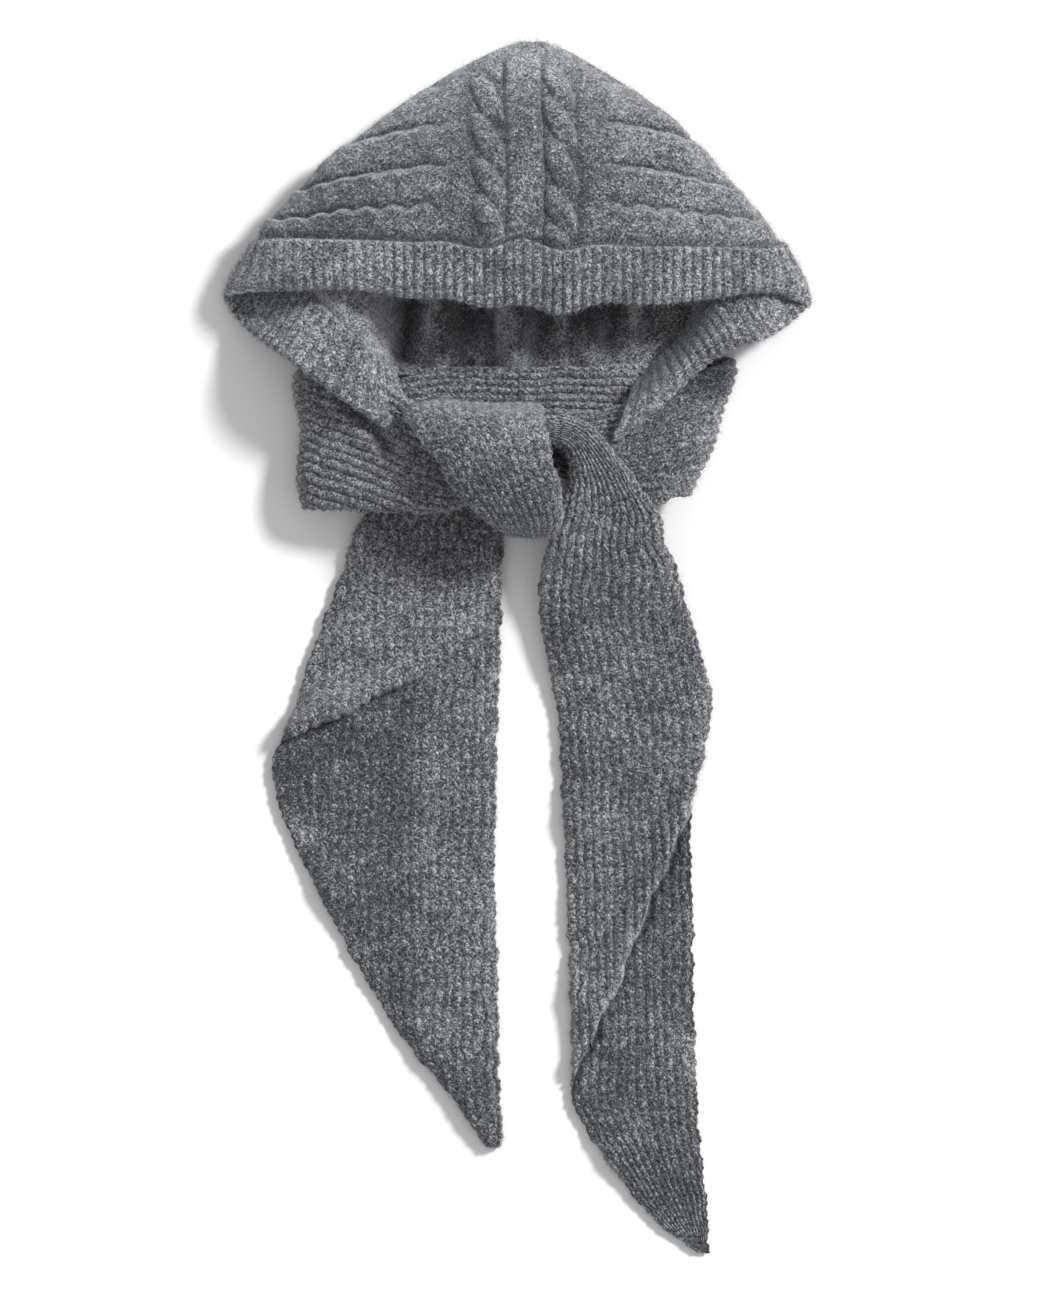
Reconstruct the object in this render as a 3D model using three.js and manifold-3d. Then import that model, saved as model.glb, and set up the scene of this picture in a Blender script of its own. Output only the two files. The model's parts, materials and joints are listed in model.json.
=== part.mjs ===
// A knitted hood with a long scarf, laid on its back with the scarf tied once in front.
// Millimetres, +Z up, +Y towards the peak of the crown, origin under the middle of the whole.
import * as THREE from "three";
import { mergeVertices } from "three/addons/utils/BufferGeometryUtils.js";
import Module from "manifold-3d";

const wasm = await Module();
wasm.setup();

// Driving dimensions of the hood
const hoodWidth = 376; // from band tip to band tip
const crownHeight = 131; // from the peak down to the band's seam
const crownRoundness = 1.3; // exponent of the crown's outline
const peakShift = 9; // the peak lies a little to the right
const knitWall = 4.5;
const pocketHeight = 54; // mid wall height of the upper layer at the band
const foldHeight = 14; // mid wall height of the fold along the outline
const neckDrop = 87; // from the band's seam down to the neck edge at the back
const neckHalf = 80; // half of the neck edge's width
const leftBulge = 33; // height of the left wall's bulge beside the throat
const leftBulgeOut = 110; // distance of that bulge from the middle
const leftBulgeHalf = 60;
const rightBulge = 24;
const rightBulgeOut = 136;
const rightBulgeHalf = 36;
const backFoldDepth = 9; // folds of the back wall
const backFoldPitch = 44;

// Driving dimensions of the cable pattern
const panelMiddle = 4; // the middle panel lies a little to the right
const panelHalf = 54;
const seamGroove = 1.4;
const columnHalf = 12;
const cableWide = 22;
const cableDepth = 4.8;
const cablePeriod = 27;

// Driving dimensions of the face band
const bandWidth = 37;
const bandThick = 7;
const ribPitch = 6.5;
const ribDepth = 1.5;
const bandEnd = 62; // degrees of the seam's lower run that the band follows

// Driving dimensions of the scarf
const scarfWidth = 92; // folded double
const scarfThick = 10; // two layers
const knotDrop = 148; // from the band's seam down to the knot's middle
const knotHeight = 60; // mid height of the strand that passes over the knot
const longTail = 509; // knot's middle to the right-hand tip
const shortTail = 440; // knot's middle to the left-hand tip
const scarfRibs = 5;
const scarfRibDepth = 1.1;
const layerStep = 3.6; // how far the upper layer stands above the lower one

const clearance = 0.3;
const stationStep = 18; // length between the scarf's sections

const lyingLength = crownHeight + knotDrop + longTail;
const peakY = lyingLength / 2;
const seamY = peakY - crownHeight;
const knotY = seamY - knotDrop;
const tipHalf = hoodWidth / 2;
const outlineFoot = seamY - 0.26 * crownHeight; // where the crown's outline is widest

// Reads one column of a table at a place between its rows, on a smooth curve.
function readTable(rows, column, at) {
  const last = rows.length - 1;
  let i = 0;
  while (i < last - 1 && at > rows[i + 1].at) i += 1;
  const slope = (k) => {
    const before = rows[Math.max(k - 1, 0)];
    const after = rows[Math.min(k + 1, last)];
    return (after[column] - before[column]) / (after.at - before.at);
  };
  const span = rows[i + 1].at - rows[i].at;
  const t = THREE.MathUtils.clamp((at - rows[i].at) / span, 0, 1);
  const rise = rows[i + 1][column] - rows[i][column];
  const bend = t * (1 - t);
  return rows[i][column] + rise * t * t * (3 - 2 * t)
    + span * bend * ((1 - t) * slope(i) - t * slope(i + 1));
}

// Closes a row of rings into one solid. Each end is closed on a point.
function skin(rings, startPoint, endPoint) {
  const around = rings[0].length;
  const points = [startPoint, ...rings.flat(), endPoint];
  const faces = [];
  const at = (ring, i) => 1 + ring * around + (i % around);
  for (let i = 0; i < around; i += 1) {
    faces.push(0, at(0, i + 1), at(0, i));
    for (let ring = 0; ring < rings.length - 1; ring += 1) {
      faces.push(at(ring, i), at(ring, i + 1), at(ring + 1, i + 1));
      faces.push(at(ring, i), at(ring + 1, i + 1), at(ring + 1, i));
    }
    const end = rings.length - 1;
    faces.push(points.length - 1, at(end, i), at(end, i + 1));
  }
  const geometry = new THREE.BufferGeometry().setFromPoints(points);
  geometry.setIndex(volumeOf(points, faces) < 0 ? faces.reverse() : faces);
  return geometry;
}

function volumeOf(points, faces) {
  let volume = 0;
  for (let i = 0; i < faces.length; i += 3) {
    const [a, b, c] = [points[faces[i]], points[faces[i + 1]], points[faces[i + 2]]];
    volume += a.dot(b.clone().cross(c)) / 6;
  }
  return volume;
}

const middleOf = (ring) => ring
  .reduce((sum, point) => sum.add(point), new THREE.Vector3())
  .divideScalar(ring.length);

// What rests on the surface is flattened there.
const rested = (point) => point.setZ(Math.max(point.z, 0));

function toManifold(geometry) {
  const merged = mergeVertices(geometry.clone(), 1e-4);
  const mesh = new wasm.Mesh({
    numProp: 3,
    vertProperties: new Float32Array(merged.attributes.position.array),
    triVerts: new Uint32Array(merged.index.array),
  });
  return new wasm.Manifold(mesh);
}

function toGeometry(manifold) {
  const mesh = manifold.getMesh();
  const geometry = new THREE.BufferGeometry();
  geometry.setAttribute("position", new THREE.BufferAttribute(mesh.vertProperties, 3));
  geometry.setIndex(new THREE.BufferAttribute(mesh.triVerts, 1));
  return geometry;
}

// Cuts the room of its neighbours out of a piece, and keeps the piece's main body.
function clearOf(piece, neighbours) {
  const cut = neighbours.reduce((rest, room) => rest.subtract(toManifold(room)), toManifold(piece));
  const bodies = cut.decompose().sort((a, b) => b.volume() - a.volume());
  return toGeometry(bodies[0]);
}

// Height of a two-ply rope seen from the front. across runs from -1 to 1 over the rope, and
// turn counts its crossings.
function ropeHeight(across, turn) {
  const plies = [0, 1].map((ply) => {
    const part = THREE.MathUtils.euclideanModulo(turn + ply, 2) / 1.25;
    const middle = -0.72 + 1.44 * part;
    const dome = Math.sqrt(Math.max(0, 1 - ((across - middle) / 0.66) ** 2));
    return part < 1 ? dome * Math.sqrt(Math.sin(Math.PI * part)) : 0;
  });
  return Math.max(...plies);
}

// Relief of the crown's knit: a plain middle column, a rope cable on each side of it,
// and cables that lie across the side panels, parallel to the band.
function crownRelief(x, y) {
  const off = x - panelMiddle;
  const out = Math.abs(off);
  const turn = (seamY - y) / cablePeriod;
  if (out < columnHalf) return 0.45 * cableDepth * (1 - (out / columnHalf) ** 4);
  if (out < columnHalf + cableWide) {
    const across = (2 * (out - columnHalf)) / cableWide - 1;
    return cableDepth * ropeHeight(across * Math.sign(off), turn);
  }
  const seam = seamGroove * Math.exp(-(((out - panelHalf) / 5) ** 2));
  if (out < panelHalf) return -seam;
  return 0.4 * cableDepth * (1 + Math.cos(2 * Math.PI * turn)) - seam;
}

// Heights of the pocket's upper layer, from the peak to the band's seam.
const pocketRows = [
  { at: 0, top: 0.24, fold: 0.85 },
  { at: 0.15, top: 0.46, fold: 0.95 },
  { at: 0.4, top: 0.72, fold: 1 },
  { at: 0.7, top: 0.9, fold: 1 },
  { at: 1, top: 1, fold: 1 },
];

// A soft hump round a place.
function bump(x, height, middle, half) {
  const near = Math.min(1, Math.abs(x - middle) / half);
  return height * Math.cos((near * Math.PI) / 2) ** 2;
}

// Half width of the crown's outline at a height.
function outlineHalf(y) {
  const rise = THREE.MathUtils.clamp((y - outlineFoot) / (peakY - outlineFoot), 0, 1);
  return tipHalf * (1 - rise ** crownRoundness) ** (1 / crownRoundness);
}

// Mid wall of the hood. angle runs round a level, 0 at the right fold, 90 on the upper
// layer, 270 on the back. level runs from the peak, 0, to the seam and neck edge, 1.
function hoodPoint(angle, level) {
  const turn = THREE.MathUtils.degToRad(angle);
  const sideY = peakY - level * crownHeight;
  const half = outlineHalf(sideY);
  const x = half * Math.cos(turn) + peakShift * (1 - level) ** 2;
  const rise = Math.sin(turn);
  const fold = foldHeight * readTable(pocketRows, "fold", level);
  if (rise >= 0) {
    const top = pocketHeight * readTable(pocketRows, "top", level);
    return new THREE.Vector3(x, sideY, fold + Math.max(top - fold, 0) * rise ** 0.85);
  }
  const under = -rise;
  const ease = level ** 2 * (3 - 2 * level);
  const rest = knitWall / 2;
  const edge = Math.max(0, 1 - under / (0.34 + 0.4 * level ** 4)) ** 2;
  const bulge = level ** 5 * (bump(-x, leftBulge, leftBulgeOut, leftBulgeHalf)
    + bump(x, rightBulge, rightBulgeOut, rightBulgeHalf));
  const waves = Math.cos((2 * Math.PI * x) / backFoldPitch) + 0.6 * Math.cos(x / 9);
  const calm = Math.max(0, 1 - (Math.abs(x) / 66) ** 4);
  const open = 1 - THREE.MathUtils.smoothstep(level, 0.9, 1);
  const folds = backFoldDepth * ease ** 2 * calm * open * Math.max(0, waves);
  const inward = (1 - Math.abs(x) / half) / (1 - neckHalf / outlineHalf(seamY));
  const short = 1 - inward;
  const y = sideY - neckDrop * ease * (1 - (short + Math.hypot(short, 0.08)) / 2);
  return new THREE.Vector3(x, y, rest + (fold - rest) * edge + bulge + folds);
}

function hoodNormal(angle, level) {
  const [da, dl] = [0.6, 0.008];
  const low = Math.max(level - dl, 0.01);
  const high = Math.min(level + dl, 1);
  const along = hoodPoint(angle + da, level).sub(hoodPoint(angle - da, level));
  const down = hoodPoint(angle, high).sub(hoodPoint(angle, low));
  return along.cross(down).normalize().negate();
}

// Angles round a level, closer together over the middle panel than at the folds.
function hoodAngles() {
  const [upper, lower] = [40, 22];
  const angles = [];
  for (let i = 0; i < upper; i += 1) {
    const u = 1 - (2 * i) / upper;
    angles.push(90 - 90 * (0.5 * u + 0.5 * u ** 3));
  }
  for (let i = 0; i < lower; i += 1) angles.push(180 + (180 * i) / lower);
  return angles;
}

function hoodShell() {
  const angles = hoodAngles();
  const ring = (level, side, relief) => angles.map((angle) => {
    const point = hoodPoint(angle, level);
    const normal = hoodNormal(angle, level);
    const above = Math.sin(THREE.MathUtils.degToRad(angle));
    const fade = THREE.MathUtils.smoothstep(above, 0.1, 0.4) * THREE.MathUtils.smoothstep(level, 0.02, 0.2);
    const lift = relief ? fade * crownRelief(point.x, point.y) : 0;
    const out = side * (knitWall / 2) + lift;
    return rested(point.addScaledVector(normal, out));
  });
  const last = 1 - clearance / crownHeight;
  const levels = (count, first) => Array.from(
    { length: count + 1 },
    (_, i) => first + (last - first) * (i / count) ** 1.2,
  );
  const outer = levels(18, 0.02).map((level) => ring(level, 1, true));
  const inner = levels(7, 0.06).map((level) => ring(level, -1, false)).reverse();
  const pole = new THREE.Vector3(peakShift, peakY, foldHeight * pocketRows[0].fold);
  const innerPole = pole.clone().add(new THREE.Vector3(0, -1.4 * knitWall, 0));
  return skin([...outer, ...inner], pole, innerPole);
}

// Where the band goes from its seam, as shares of its width, on each side of the hood.
const bandRows = {
  left: [
    { at: 0, out: 0, down: 1.08, lift: 0.12 },
    { at: 0.13, out: 0, down: 0.93, lift: 0.11 },
    { at: 0.3, out: 0, down: 0.86, lift: 0.08 },
    { at: 0.45, out: 0.08, down: 0.88, lift: 0.04 },
    { at: 0.59, out: 0.53, down: 0.9, lift: -0.05 },
    { at: 0.7, out: 0.62, down: 1, lift: 0 },
    { at: 0.82, out: 0.66, down: 0.95, lift: 0.12 },
    { at: 0.92, out: 0.42, down: 0.97, lift: 0.22 },
    { at: 1, out: 0, down: 1.34, lift: 0.28 },
  ],
  right: [
    { at: 0, out: 0, down: 1.08, lift: 0.12 },
    { at: 0.19, out: 0, down: 1, lift: 0.11 },
    { at: 0.3, out: 0, down: 0.86, lift: 0.08 },
    { at: 0.48, out: 0.08, down: 0.78, lift: 0 },
    { at: 0.59, out: 0.53, down: 1.05, lift: -0.05 },
    { at: 0.7, out: 0.58, down: 1, lift: 0 },
    { at: 0.82, out: 0.5, down: 0.92, lift: 0.18 },
    { at: 0.92, out: 0.33, down: 0.62, lift: 0.4 },
    { at: 0.96, out: 0.1, down: 0.68, lift: 0.42 },
    { at: 1, out: -0.5, down: 1.2, lift: 0.3 },
  ],
};

// Share of the way from the middle of the upper run to the throat, for an angle of the seam.
const bandShare = (angle) => Math.abs(angle - 90) / (90 + bandEnd);

function bandFrame(angle) {
  const seam = hoodPoint(angle, 1);
  const before = hoodPoint(angle - 0.5, 1);
  const along = hoodPoint(angle + 0.5, 1).sub(before).normalize();
  const rows = angle > 90 ? bandRows.left : bandRows.right;
  const side = angle > 90 ? -1 : 1;
  const read = (column) => readTable(rows, column, bandShare(angle));
  const way = new THREE.Vector3(side * read("out"), -read("down"), read("lift"));
  const out = along.clone().cross(way).normalize().negate();
  return { seam, way, out };
}

// Shares across the band, from the seam over the outer face, the free edge and the inner face.
const bandSection = [
  { across: 0, off: 0.9, rib: 0.3 },
  { across: 0.4, off: 1.05, rib: 1 },
  { across: 0.94, off: 0.85, rib: 1 },
  { across: 1, off: 0, rib: 0.6 },
  { across: 0.94, off: -0.85, rib: 1 },
  { across: 0, off: -0.9, rib: 0.3 },
];

function faceBand(grow = 0) {
  const ribs = Math.round((2 * seamLengths[seamLengths.length - 1].length) / ribPitch);
  const rings = [];
  for (let i = 0; i <= 2 * ribs; i += 1) {
    const angle = 90 - bandAngle(i / ribs - 1);
    const { seam, way, out } = bandFrame(angle);
    const crest = i % 2 === 0 ? 0 : ribDepth;
    rings.push(bandSection.map(({ across, off, rib }) => {
      const reach = clearance + across * (bandWidth - clearance) + grow * Math.sign(across - 0.4);
      const half = bandThick / 2 - ribDepth + rib * crest + grow;
      return rested(seam.clone().addScaledVector(way, reach).addScaledVector(out, off * half));
    }));
  }
  return skin(rings, middleOf(rings[0]), middleOf(rings[rings.length - 1]));
}

// Angle from the middle of the upper run for a share of the band's length, -1 to 1.
// Ribs are evenly spaced on the cloth, so the table follows the seam's own length.
const seamLengths = measureSeam();

function measureSeam() {
  const rows = [{ angle: 0, length: 0 }];
  const steps = 152;
  let before = hoodPoint(90, 1);
  for (let i = 1; i <= steps; i += 1) {
    const angle = ((90 + bandEnd) * i) / steps;
    const point = hoodPoint(90 + angle, 1);
    rows.push({ angle, length: rows[i - 1].length + point.distanceTo(before) });
    before = point;
  }
  return rows;
}

function bandAngle(share) {
  const wanted = Math.abs(share) * seamLengths[seamLengths.length - 1].length;
  const next = Math.max(1, seamLengths.findIndex(({ length }) => length >= wanted - 1e-9));
  const [a, b] = [seamLengths[next - 1], seamLengths[next]];
  const part = (wanted - a.length) / (b.length - a.length);
  return Math.sign(share) * (a.angle + part * (b.angle - a.angle));
}

// The strands' hidden and gathered stretches. out and down are measured from the knot's
// middle in shares of the scarf's width, height in shares of the knot's height, wide and
// thick in shares of the scarf's, and turn is the direction across the strand in degrees.
// tilt is how far the edge on that side stands above the middle, a share of knotHeight.
const leftStrandRows = [
  { out: -0.002, down: -0.395, height: 0.14, wide: 0.7, thick: 1, turn: 90, tilt: 0.07 },
  { out: -0.55, down: -0.4, height: 0.14, wide: 0.7, thick: 1, turn: 90, tilt: 0.07 },
  { out: -1.14, down: -0.27, height: 0.09, wide: 0.9, thick: 1, turn: 90, tilt: 0 },
  { out: -1.44, down: -0.24, height: 0.17, wide: 1, thick: 1, turn: 90, tilt: 0 },
  { out: -1.51, down: -0.24, height: 0.28, wide: 1, thick: 1, turn: 90, tilt: 0 },
  { out: -1.43, down: -0.24, height: 0.4, wide: 1, thick: 1.05, turn: 90, tilt: 0 },
  { out: -1.15, down: -0.2, height: 0.5, wide: 0.96, thick: 1.1, turn: 88, tilt: 0 },
  { out: -0.85, down: -0.13, height: 0.55, wide: 0.82, thick: 1.3, turn: 86, tilt: 0 },
  { out: -0.52, down: -0.05, height: 0.62, wide: 0.67, thick: 1.9, turn: 88, tilt: 0 },
  { out: -0.2, down: -0.08, height: 0.6, wide: 0.5, thick: 2.2, turn: 90, tilt: 0 },
  { out: 0.06, down: -0.22, height: 0.64, wide: 0.28, thick: 2.4, turn: 90, tilt: 0 },
  { out: 0.22, down: -0.285, height: 0.7, wide: 0.16, thick: 2.4, turn: 84, tilt: 0 },
  { out: 0.385, down: -0.245, height: 0.72, wide: 0.21, thick: 2.1, turn: 46, tilt: 0 },
  { out: 0.49, down: -0.14, height: 0.71, wide: 0.28, thick: 1.8, turn: 20, tilt: 0 },
  { out: 0.565, down: -0.02, height: 0.67, wide: 0.4, thick: 1.6, turn: 2, tilt: 0 },
  { out: 0.62, down: 0.13, height: 0.62, wide: 0.55, thick: 1.4, turn: -6, tilt: 0 },
  { out: 0.645, down: 0.3, height: 0.56, wide: 0.71, thick: 1.2, turn: -4, tilt: 0 },
];

const rightStrandRows = [
  { out: 0.002, down: -0.395, height: 0.14, wide: 0.7, thick: 1, turn: 90, tilt: 0.07 },
  { out: 0.55, down: -0.4, height: 0.14, wide: 0.7, thick: 1, turn: 88, tilt: 0.07 },
  { out: 1.06, down: -0.33, height: 0.09, wide: 0.92, thick: 1, turn: 78, tilt: 0 },
  { out: 1.29, down: -0.32, height: 0.16, wide: 1.02, thick: 1, turn: 73, tilt: -0.03 },
  { out: 1.36, down: -0.32, height: 0.26, wide: 1.02, thick: 1, turn: 73, tilt: -0.1 },
  { out: 1.28, down: -0.3, height: 0.36, wide: 1, thick: 1.05, turn: 73, tilt: -0.14 },
  { out: 1.05, down: -0.22, height: 0.44, wide: 0.94, thick: 1.1, turn: 75, tilt: -0.1 },
  { out: 0.76, down: -0.15, height: 0.44, wide: 0.74, thick: 1.2, turn: 78, tilt: -0.04 },
  { out: 0.48, down: -0.17, height: 0.36, wide: 0.52, thick: 1.3, turn: 76, tilt: 0 },
  { out: 0.18, down: -0.24, height: 0.34, wide: 0.44, thick: 1.4, turn: 60, tilt: 0 },
  { out: -0.09, down: -0.32, height: 0.35, wide: 0.54, thick: 1.4, turn: 28, tilt: 0 },
  { out: -0.26, down: -0.4, height: 0.44, wide: 0.82, thick: 1.3, turn: 6, tilt: 0 },
  { out: -0.31, down: -0.41, height: 0.68, wide: 0.99, thick: 1.3, turn: 0, tilt: 0 },
  { out: -0.29, down: -0.33, height: 0.92, wide: 0.95, thick: 1.3, turn: 0, tilt: 0 },
  { out: -0.17, down: -0.08, height: 1.05, wide: 0.83, thick: 1.4, turn: 0, tilt: 0 },
  { out: -0.07, down: 0.15, height: 1.03, wide: 0.74, thick: 1.4, turn: 0, tilt: 0 },
  { out: 0.03, down: 0.33, height: 0.92, wide: 0.56, thick: 1.4, turn: 0, tilt: 0 },
  { out: 0.07, down: 0.4, height: 0.7, wide: 0.38, thick: 1.4, turn: 0, tilt: 0 },
  { out: 0.02, down: 0.34, height: 0.46, wide: 0.36, thick: 1.1, turn: -6, tilt: 0 },
  { out: -0.15, down: 0.19, height: 0.38, wide: 0.46, thick: 1, turn: -10, tilt: 0 },
  { out: -0.31, down: 0.09, height: 0.27, wide: 0.62, thick: 0.9, turn: -8, tilt: 0 },
  { out: -0.46, down: 0.17, height: 0.14, wide: 0.86, thick: 0.9, turn: -4, tilt: 0 },
];

// The tails, lying flat. reach is a share of the tail's length from the knot's middle to its
// tip, and left and right are the places of its edges in shares of the scarf's width.
const longTailRows = [
  { reach: 0.085, left: 0.22, right: 1.02, height: 0.5 },
  { reach: 0.117, left: 0.17, right: 1.11, height: 0.38 },
  { reach: 0.16, left: 0.14, right: 1.18, height: 0.24 },
  { reach: 0.234, left: 0.2, right: 1.3, height: 0.13 },
  { reach: 0.292, left: 0.26, right: 1.38, height: 0.1 },
  { reach: 0.33, left: 0.285, right: 1.35, height: 0.09 },
  { reach: 0.379, left: 0.3, right: 1.29, height: 0.085 },
  { reach: 0.42, left: 0.31, right: 1.23, height: 0.085 },
  { reach: 0.57, left: 0.35, right: 1.235, height: 0.085 },
  { reach: 0.74, left: 0.38, right: 1.25, height: 0.085 },
  { reach: 0.81, left: 0.4, right: 1.27, height: 0.08 },
  { reach: 0.88, left: 0.64, right: 1.3, height: 0.075 },
  { reach: 0.96, left: 1, right: 1.345, height: 0.07 },
  { reach: 0.995, left: 1.27, right: 1.35, height: 0.065 },
];

const shortTailRows = [
  { reach: 0.075, left: -1.12, right: -0.09, height: 0.1 },
  { reach: 0.157, left: -1.26, right: -0.11, height: 0.09 },
  { reach: 0.277, left: -1.475, right: -0.125, height: 0.09 },
  { reach: 0.36, left: -1.6, right: -0.14, height: 0.09 },
  { reach: 0.41, left: -1.71, right: -0.15, height: 0.085 },
  { reach: 0.45, left: -1.73, right: -0.15, height: 0.085 },
  { reach: 0.506, left: -1.66, right: -0.155, height: 0.085 },
  { reach: 0.59, left: -1.48, right: -0.165, height: 0.085 },
  { reach: 0.742, left: -1.09, right: -0.14, height: 0.08 },
  { reach: 0.852, left: -0.75, right: -0.135, height: 0.075 },
  { reach: 0.928, left: -0.435, right: -0.125, height: 0.07 },
  { reach: 0.98, left: -0.28, right: -0.1, height: 0.065 },
  { reach: 0.995, left: -0.22, right: -0.13, height: 0.065 },
];

// Turns both kinds of rows into one list of stations, placed by the length along them.
function stationsOf(strandRows, tailRows, tailLength) {
  const knot = strandRows.map((row) => ({
    x: row.out * scarfWidth,
    y: knotY - row.down * scarfWidth,
    z: row.height * knotHeight,
    wide: row.wide * scarfWidth,
    thick: row.thick * scarfThick,
    turn: row.turn,
    tilt: row.tilt * knotHeight,
  }));
  const tail = tailRows.map((row) => ({
    x: ((row.left + row.right) / 2) * scarfWidth,
    y: knotY - row.reach * tailLength,
    z: row.height * knotHeight,
    wide: (row.right - row.left) * scarfWidth,
    thick: scarfThick,
    turn: 0,
    tilt: 0,
  }));
  const stations = [...knot, ...tail];
  stations.forEach((station, i) => {
    const before = stations[Math.max(i - 1, 0)];
    const step = Math.hypot(station.x - before.x, station.y - before.y, station.z - before.z);
    station.at = i === 0 ? 0 : before.at + step;
  });
  return stations;
}

// Closed section of a strand: a flat oval with ribs on both faces. Points run from the left
// edge over the upper face to the right edge, and back under the lower face.
function strandSection(points) {
  const section = [];
  for (let i = 0; i < points; i += 1) {
    const u = -1 + (2 * (i + 0.5)) / points;
    section.push({ across: u, side: 1, crest: i % 2 });
  }
  return [
    { across: -1, side: 0, crest: 0 },
    ...section,
    { across: 1, side: 0, crest: 0 },
    ...[...section].reverse().map((point) => ({ ...point, side: -1 })),
  ];
}

// One half of the scarf. stepAt says how much of the upper layer is there at a point.
function scarfHalf(stations, stepAt, grow = 0) {
  const end = stations[stations.length - 1].at;
  const count = Math.round(end / stationStep);
  const section = strandSection(2 * scarfRibs);
  const centre = (at) => new THREE.Vector3(
    readTable(stations, "x", at),
    readTable(stations, "y", at),
    readTable(stations, "z", at),
  );
  const rings = [];
  for (let i = 0; i <= count; i += 1) {
    const at = (end * i) / count;
    const along = centre(Math.min(at + 0.5, end)).sub(centre(Math.max(at - 0.5, 0))).normalize();
    const turn = THREE.MathUtils.degToRad(readTable(stations, "turn", at));
    const across = new THREE.Vector3(Math.cos(turn), Math.sin(turn), 0);
    const up = along.clone().cross(across).normalize();
    const half = readTable(stations, "wide", at) / 2 + grow;
    const thick = readTable(stations, "thick", at);
    const tilt = readTable(stations, "tilt", at);
    const crestHeight = scarfRibDepth * Math.min(1, half / (0.3 * scarfWidth));
    rings.push(section.map((point) => {
      const place = centre(at).addScaledVector(across, point.across * half);
      place.z += point.across * tilt;
      const oval = (1 - Math.abs(point.across) ** 4) ** 0.5;
      const lower = point.side > 0 ? layerStep * (1 - stepAt(place)) : 0;
      const reach = oval * (thick / 2 - lower) + oval * point.crest * crestHeight + grow;
      return rested(place.addScaledVector(up, point.side * reach));
    }));
  }
  return skin(rings, middleOf(rings[0]), middleOf(rings[rings.length - 1]));
}

// The upper layer of each tail ends on a slanting edge. reach is a share of the tail's
// length, and out a share of the scarf's width.
const longTailFold = {
  start: 0.36,
  from: { reach: 0.43, out: 1.22 },
  to: { reach: 0.7, out: 0.57 },
};
const shortTailFold = {
  from: { reach: 0.383, out: -1.58 },
  to: { reach: 0.308, out: -0.79 },
  closed: -0.6,
};
const layerEdge = 2; // half length of the step down

function longTailLayer(place) {
  const reached = (knotY - place.y) / longTail;
  const { start, from, to } = longTailFold;
  const share = (reached - from.reach) / (to.reach - from.reach);
  const edgeX = scarfWidth * THREE.MathUtils.lerp(from.out, to.out, share);
  if (reached < start) return 1;
  return 1 - THREE.MathUtils.smoothstep(place.x, edgeX - layerEdge, edgeX + layerEdge);
}

function shortTailLayer(place) {
  const out = place.x / scarfWidth;
  const { from, to, closed } = shortTailFold;
  const share = (out - from.out) / (to.out - from.out);
  const foldY = knotY - shortTail * THREE.MathUtils.lerp(from.reach, to.reach, share);
  const aside = THREE.MathUtils.smoothstep(out, to.out - 0.1, closed);
  const below = 1 - THREE.MathUtils.smoothstep(place.y, foldY - layerEdge, foldY + layerEdge);
  return place.z > 0.3 * knotHeight ? 1 : 1 - below * (1 - aside);
}

const wool = (color) => new THREE.MeshStandardMaterial({ color, roughness: 0.95, metalness: 0 });

function addPiece(group, name, geometry, color) {
  const mesh = new THREE.Mesh(geometry, wool(color));
  mesh.name = name;
  group.add(mesh);
}

const leftStations = stationsOf(leftStrandRows, longTailRows, longTail);
const rightStations = stationsOf(rightStrandRows, shortTailRows, shortTail);
const leftHalf = scarfHalf(leftStations, longTailLayer);
const leftRoom = scarfHalf(leftStations, longTailLayer, clearance);
const rightHalf = scarfHalf(rightStations, shortTailLayer);
const rightRoom = scarfHalf(rightStations, shortTailLayer, clearance);
const band = faceBand();
const bandRoom = faceBand(clearance);

const hood = new THREE.Group();
addPiece(hood, "hood_shell", clearOf(hoodShell(), [bandRoom, leftRoom, rightRoom]), 0x74787b);
addPiece(hood, "face_band", clearOf(band, [leftRoom, rightRoom]), 0x7b7f82);
addPiece(hood, "scarf_left", leftHalf, 0x686c6f);
addPiece(hood, "scarf_right", clearOf(rightHalf, [leftRoom]), 0x6e7275);

export default hood;
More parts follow.
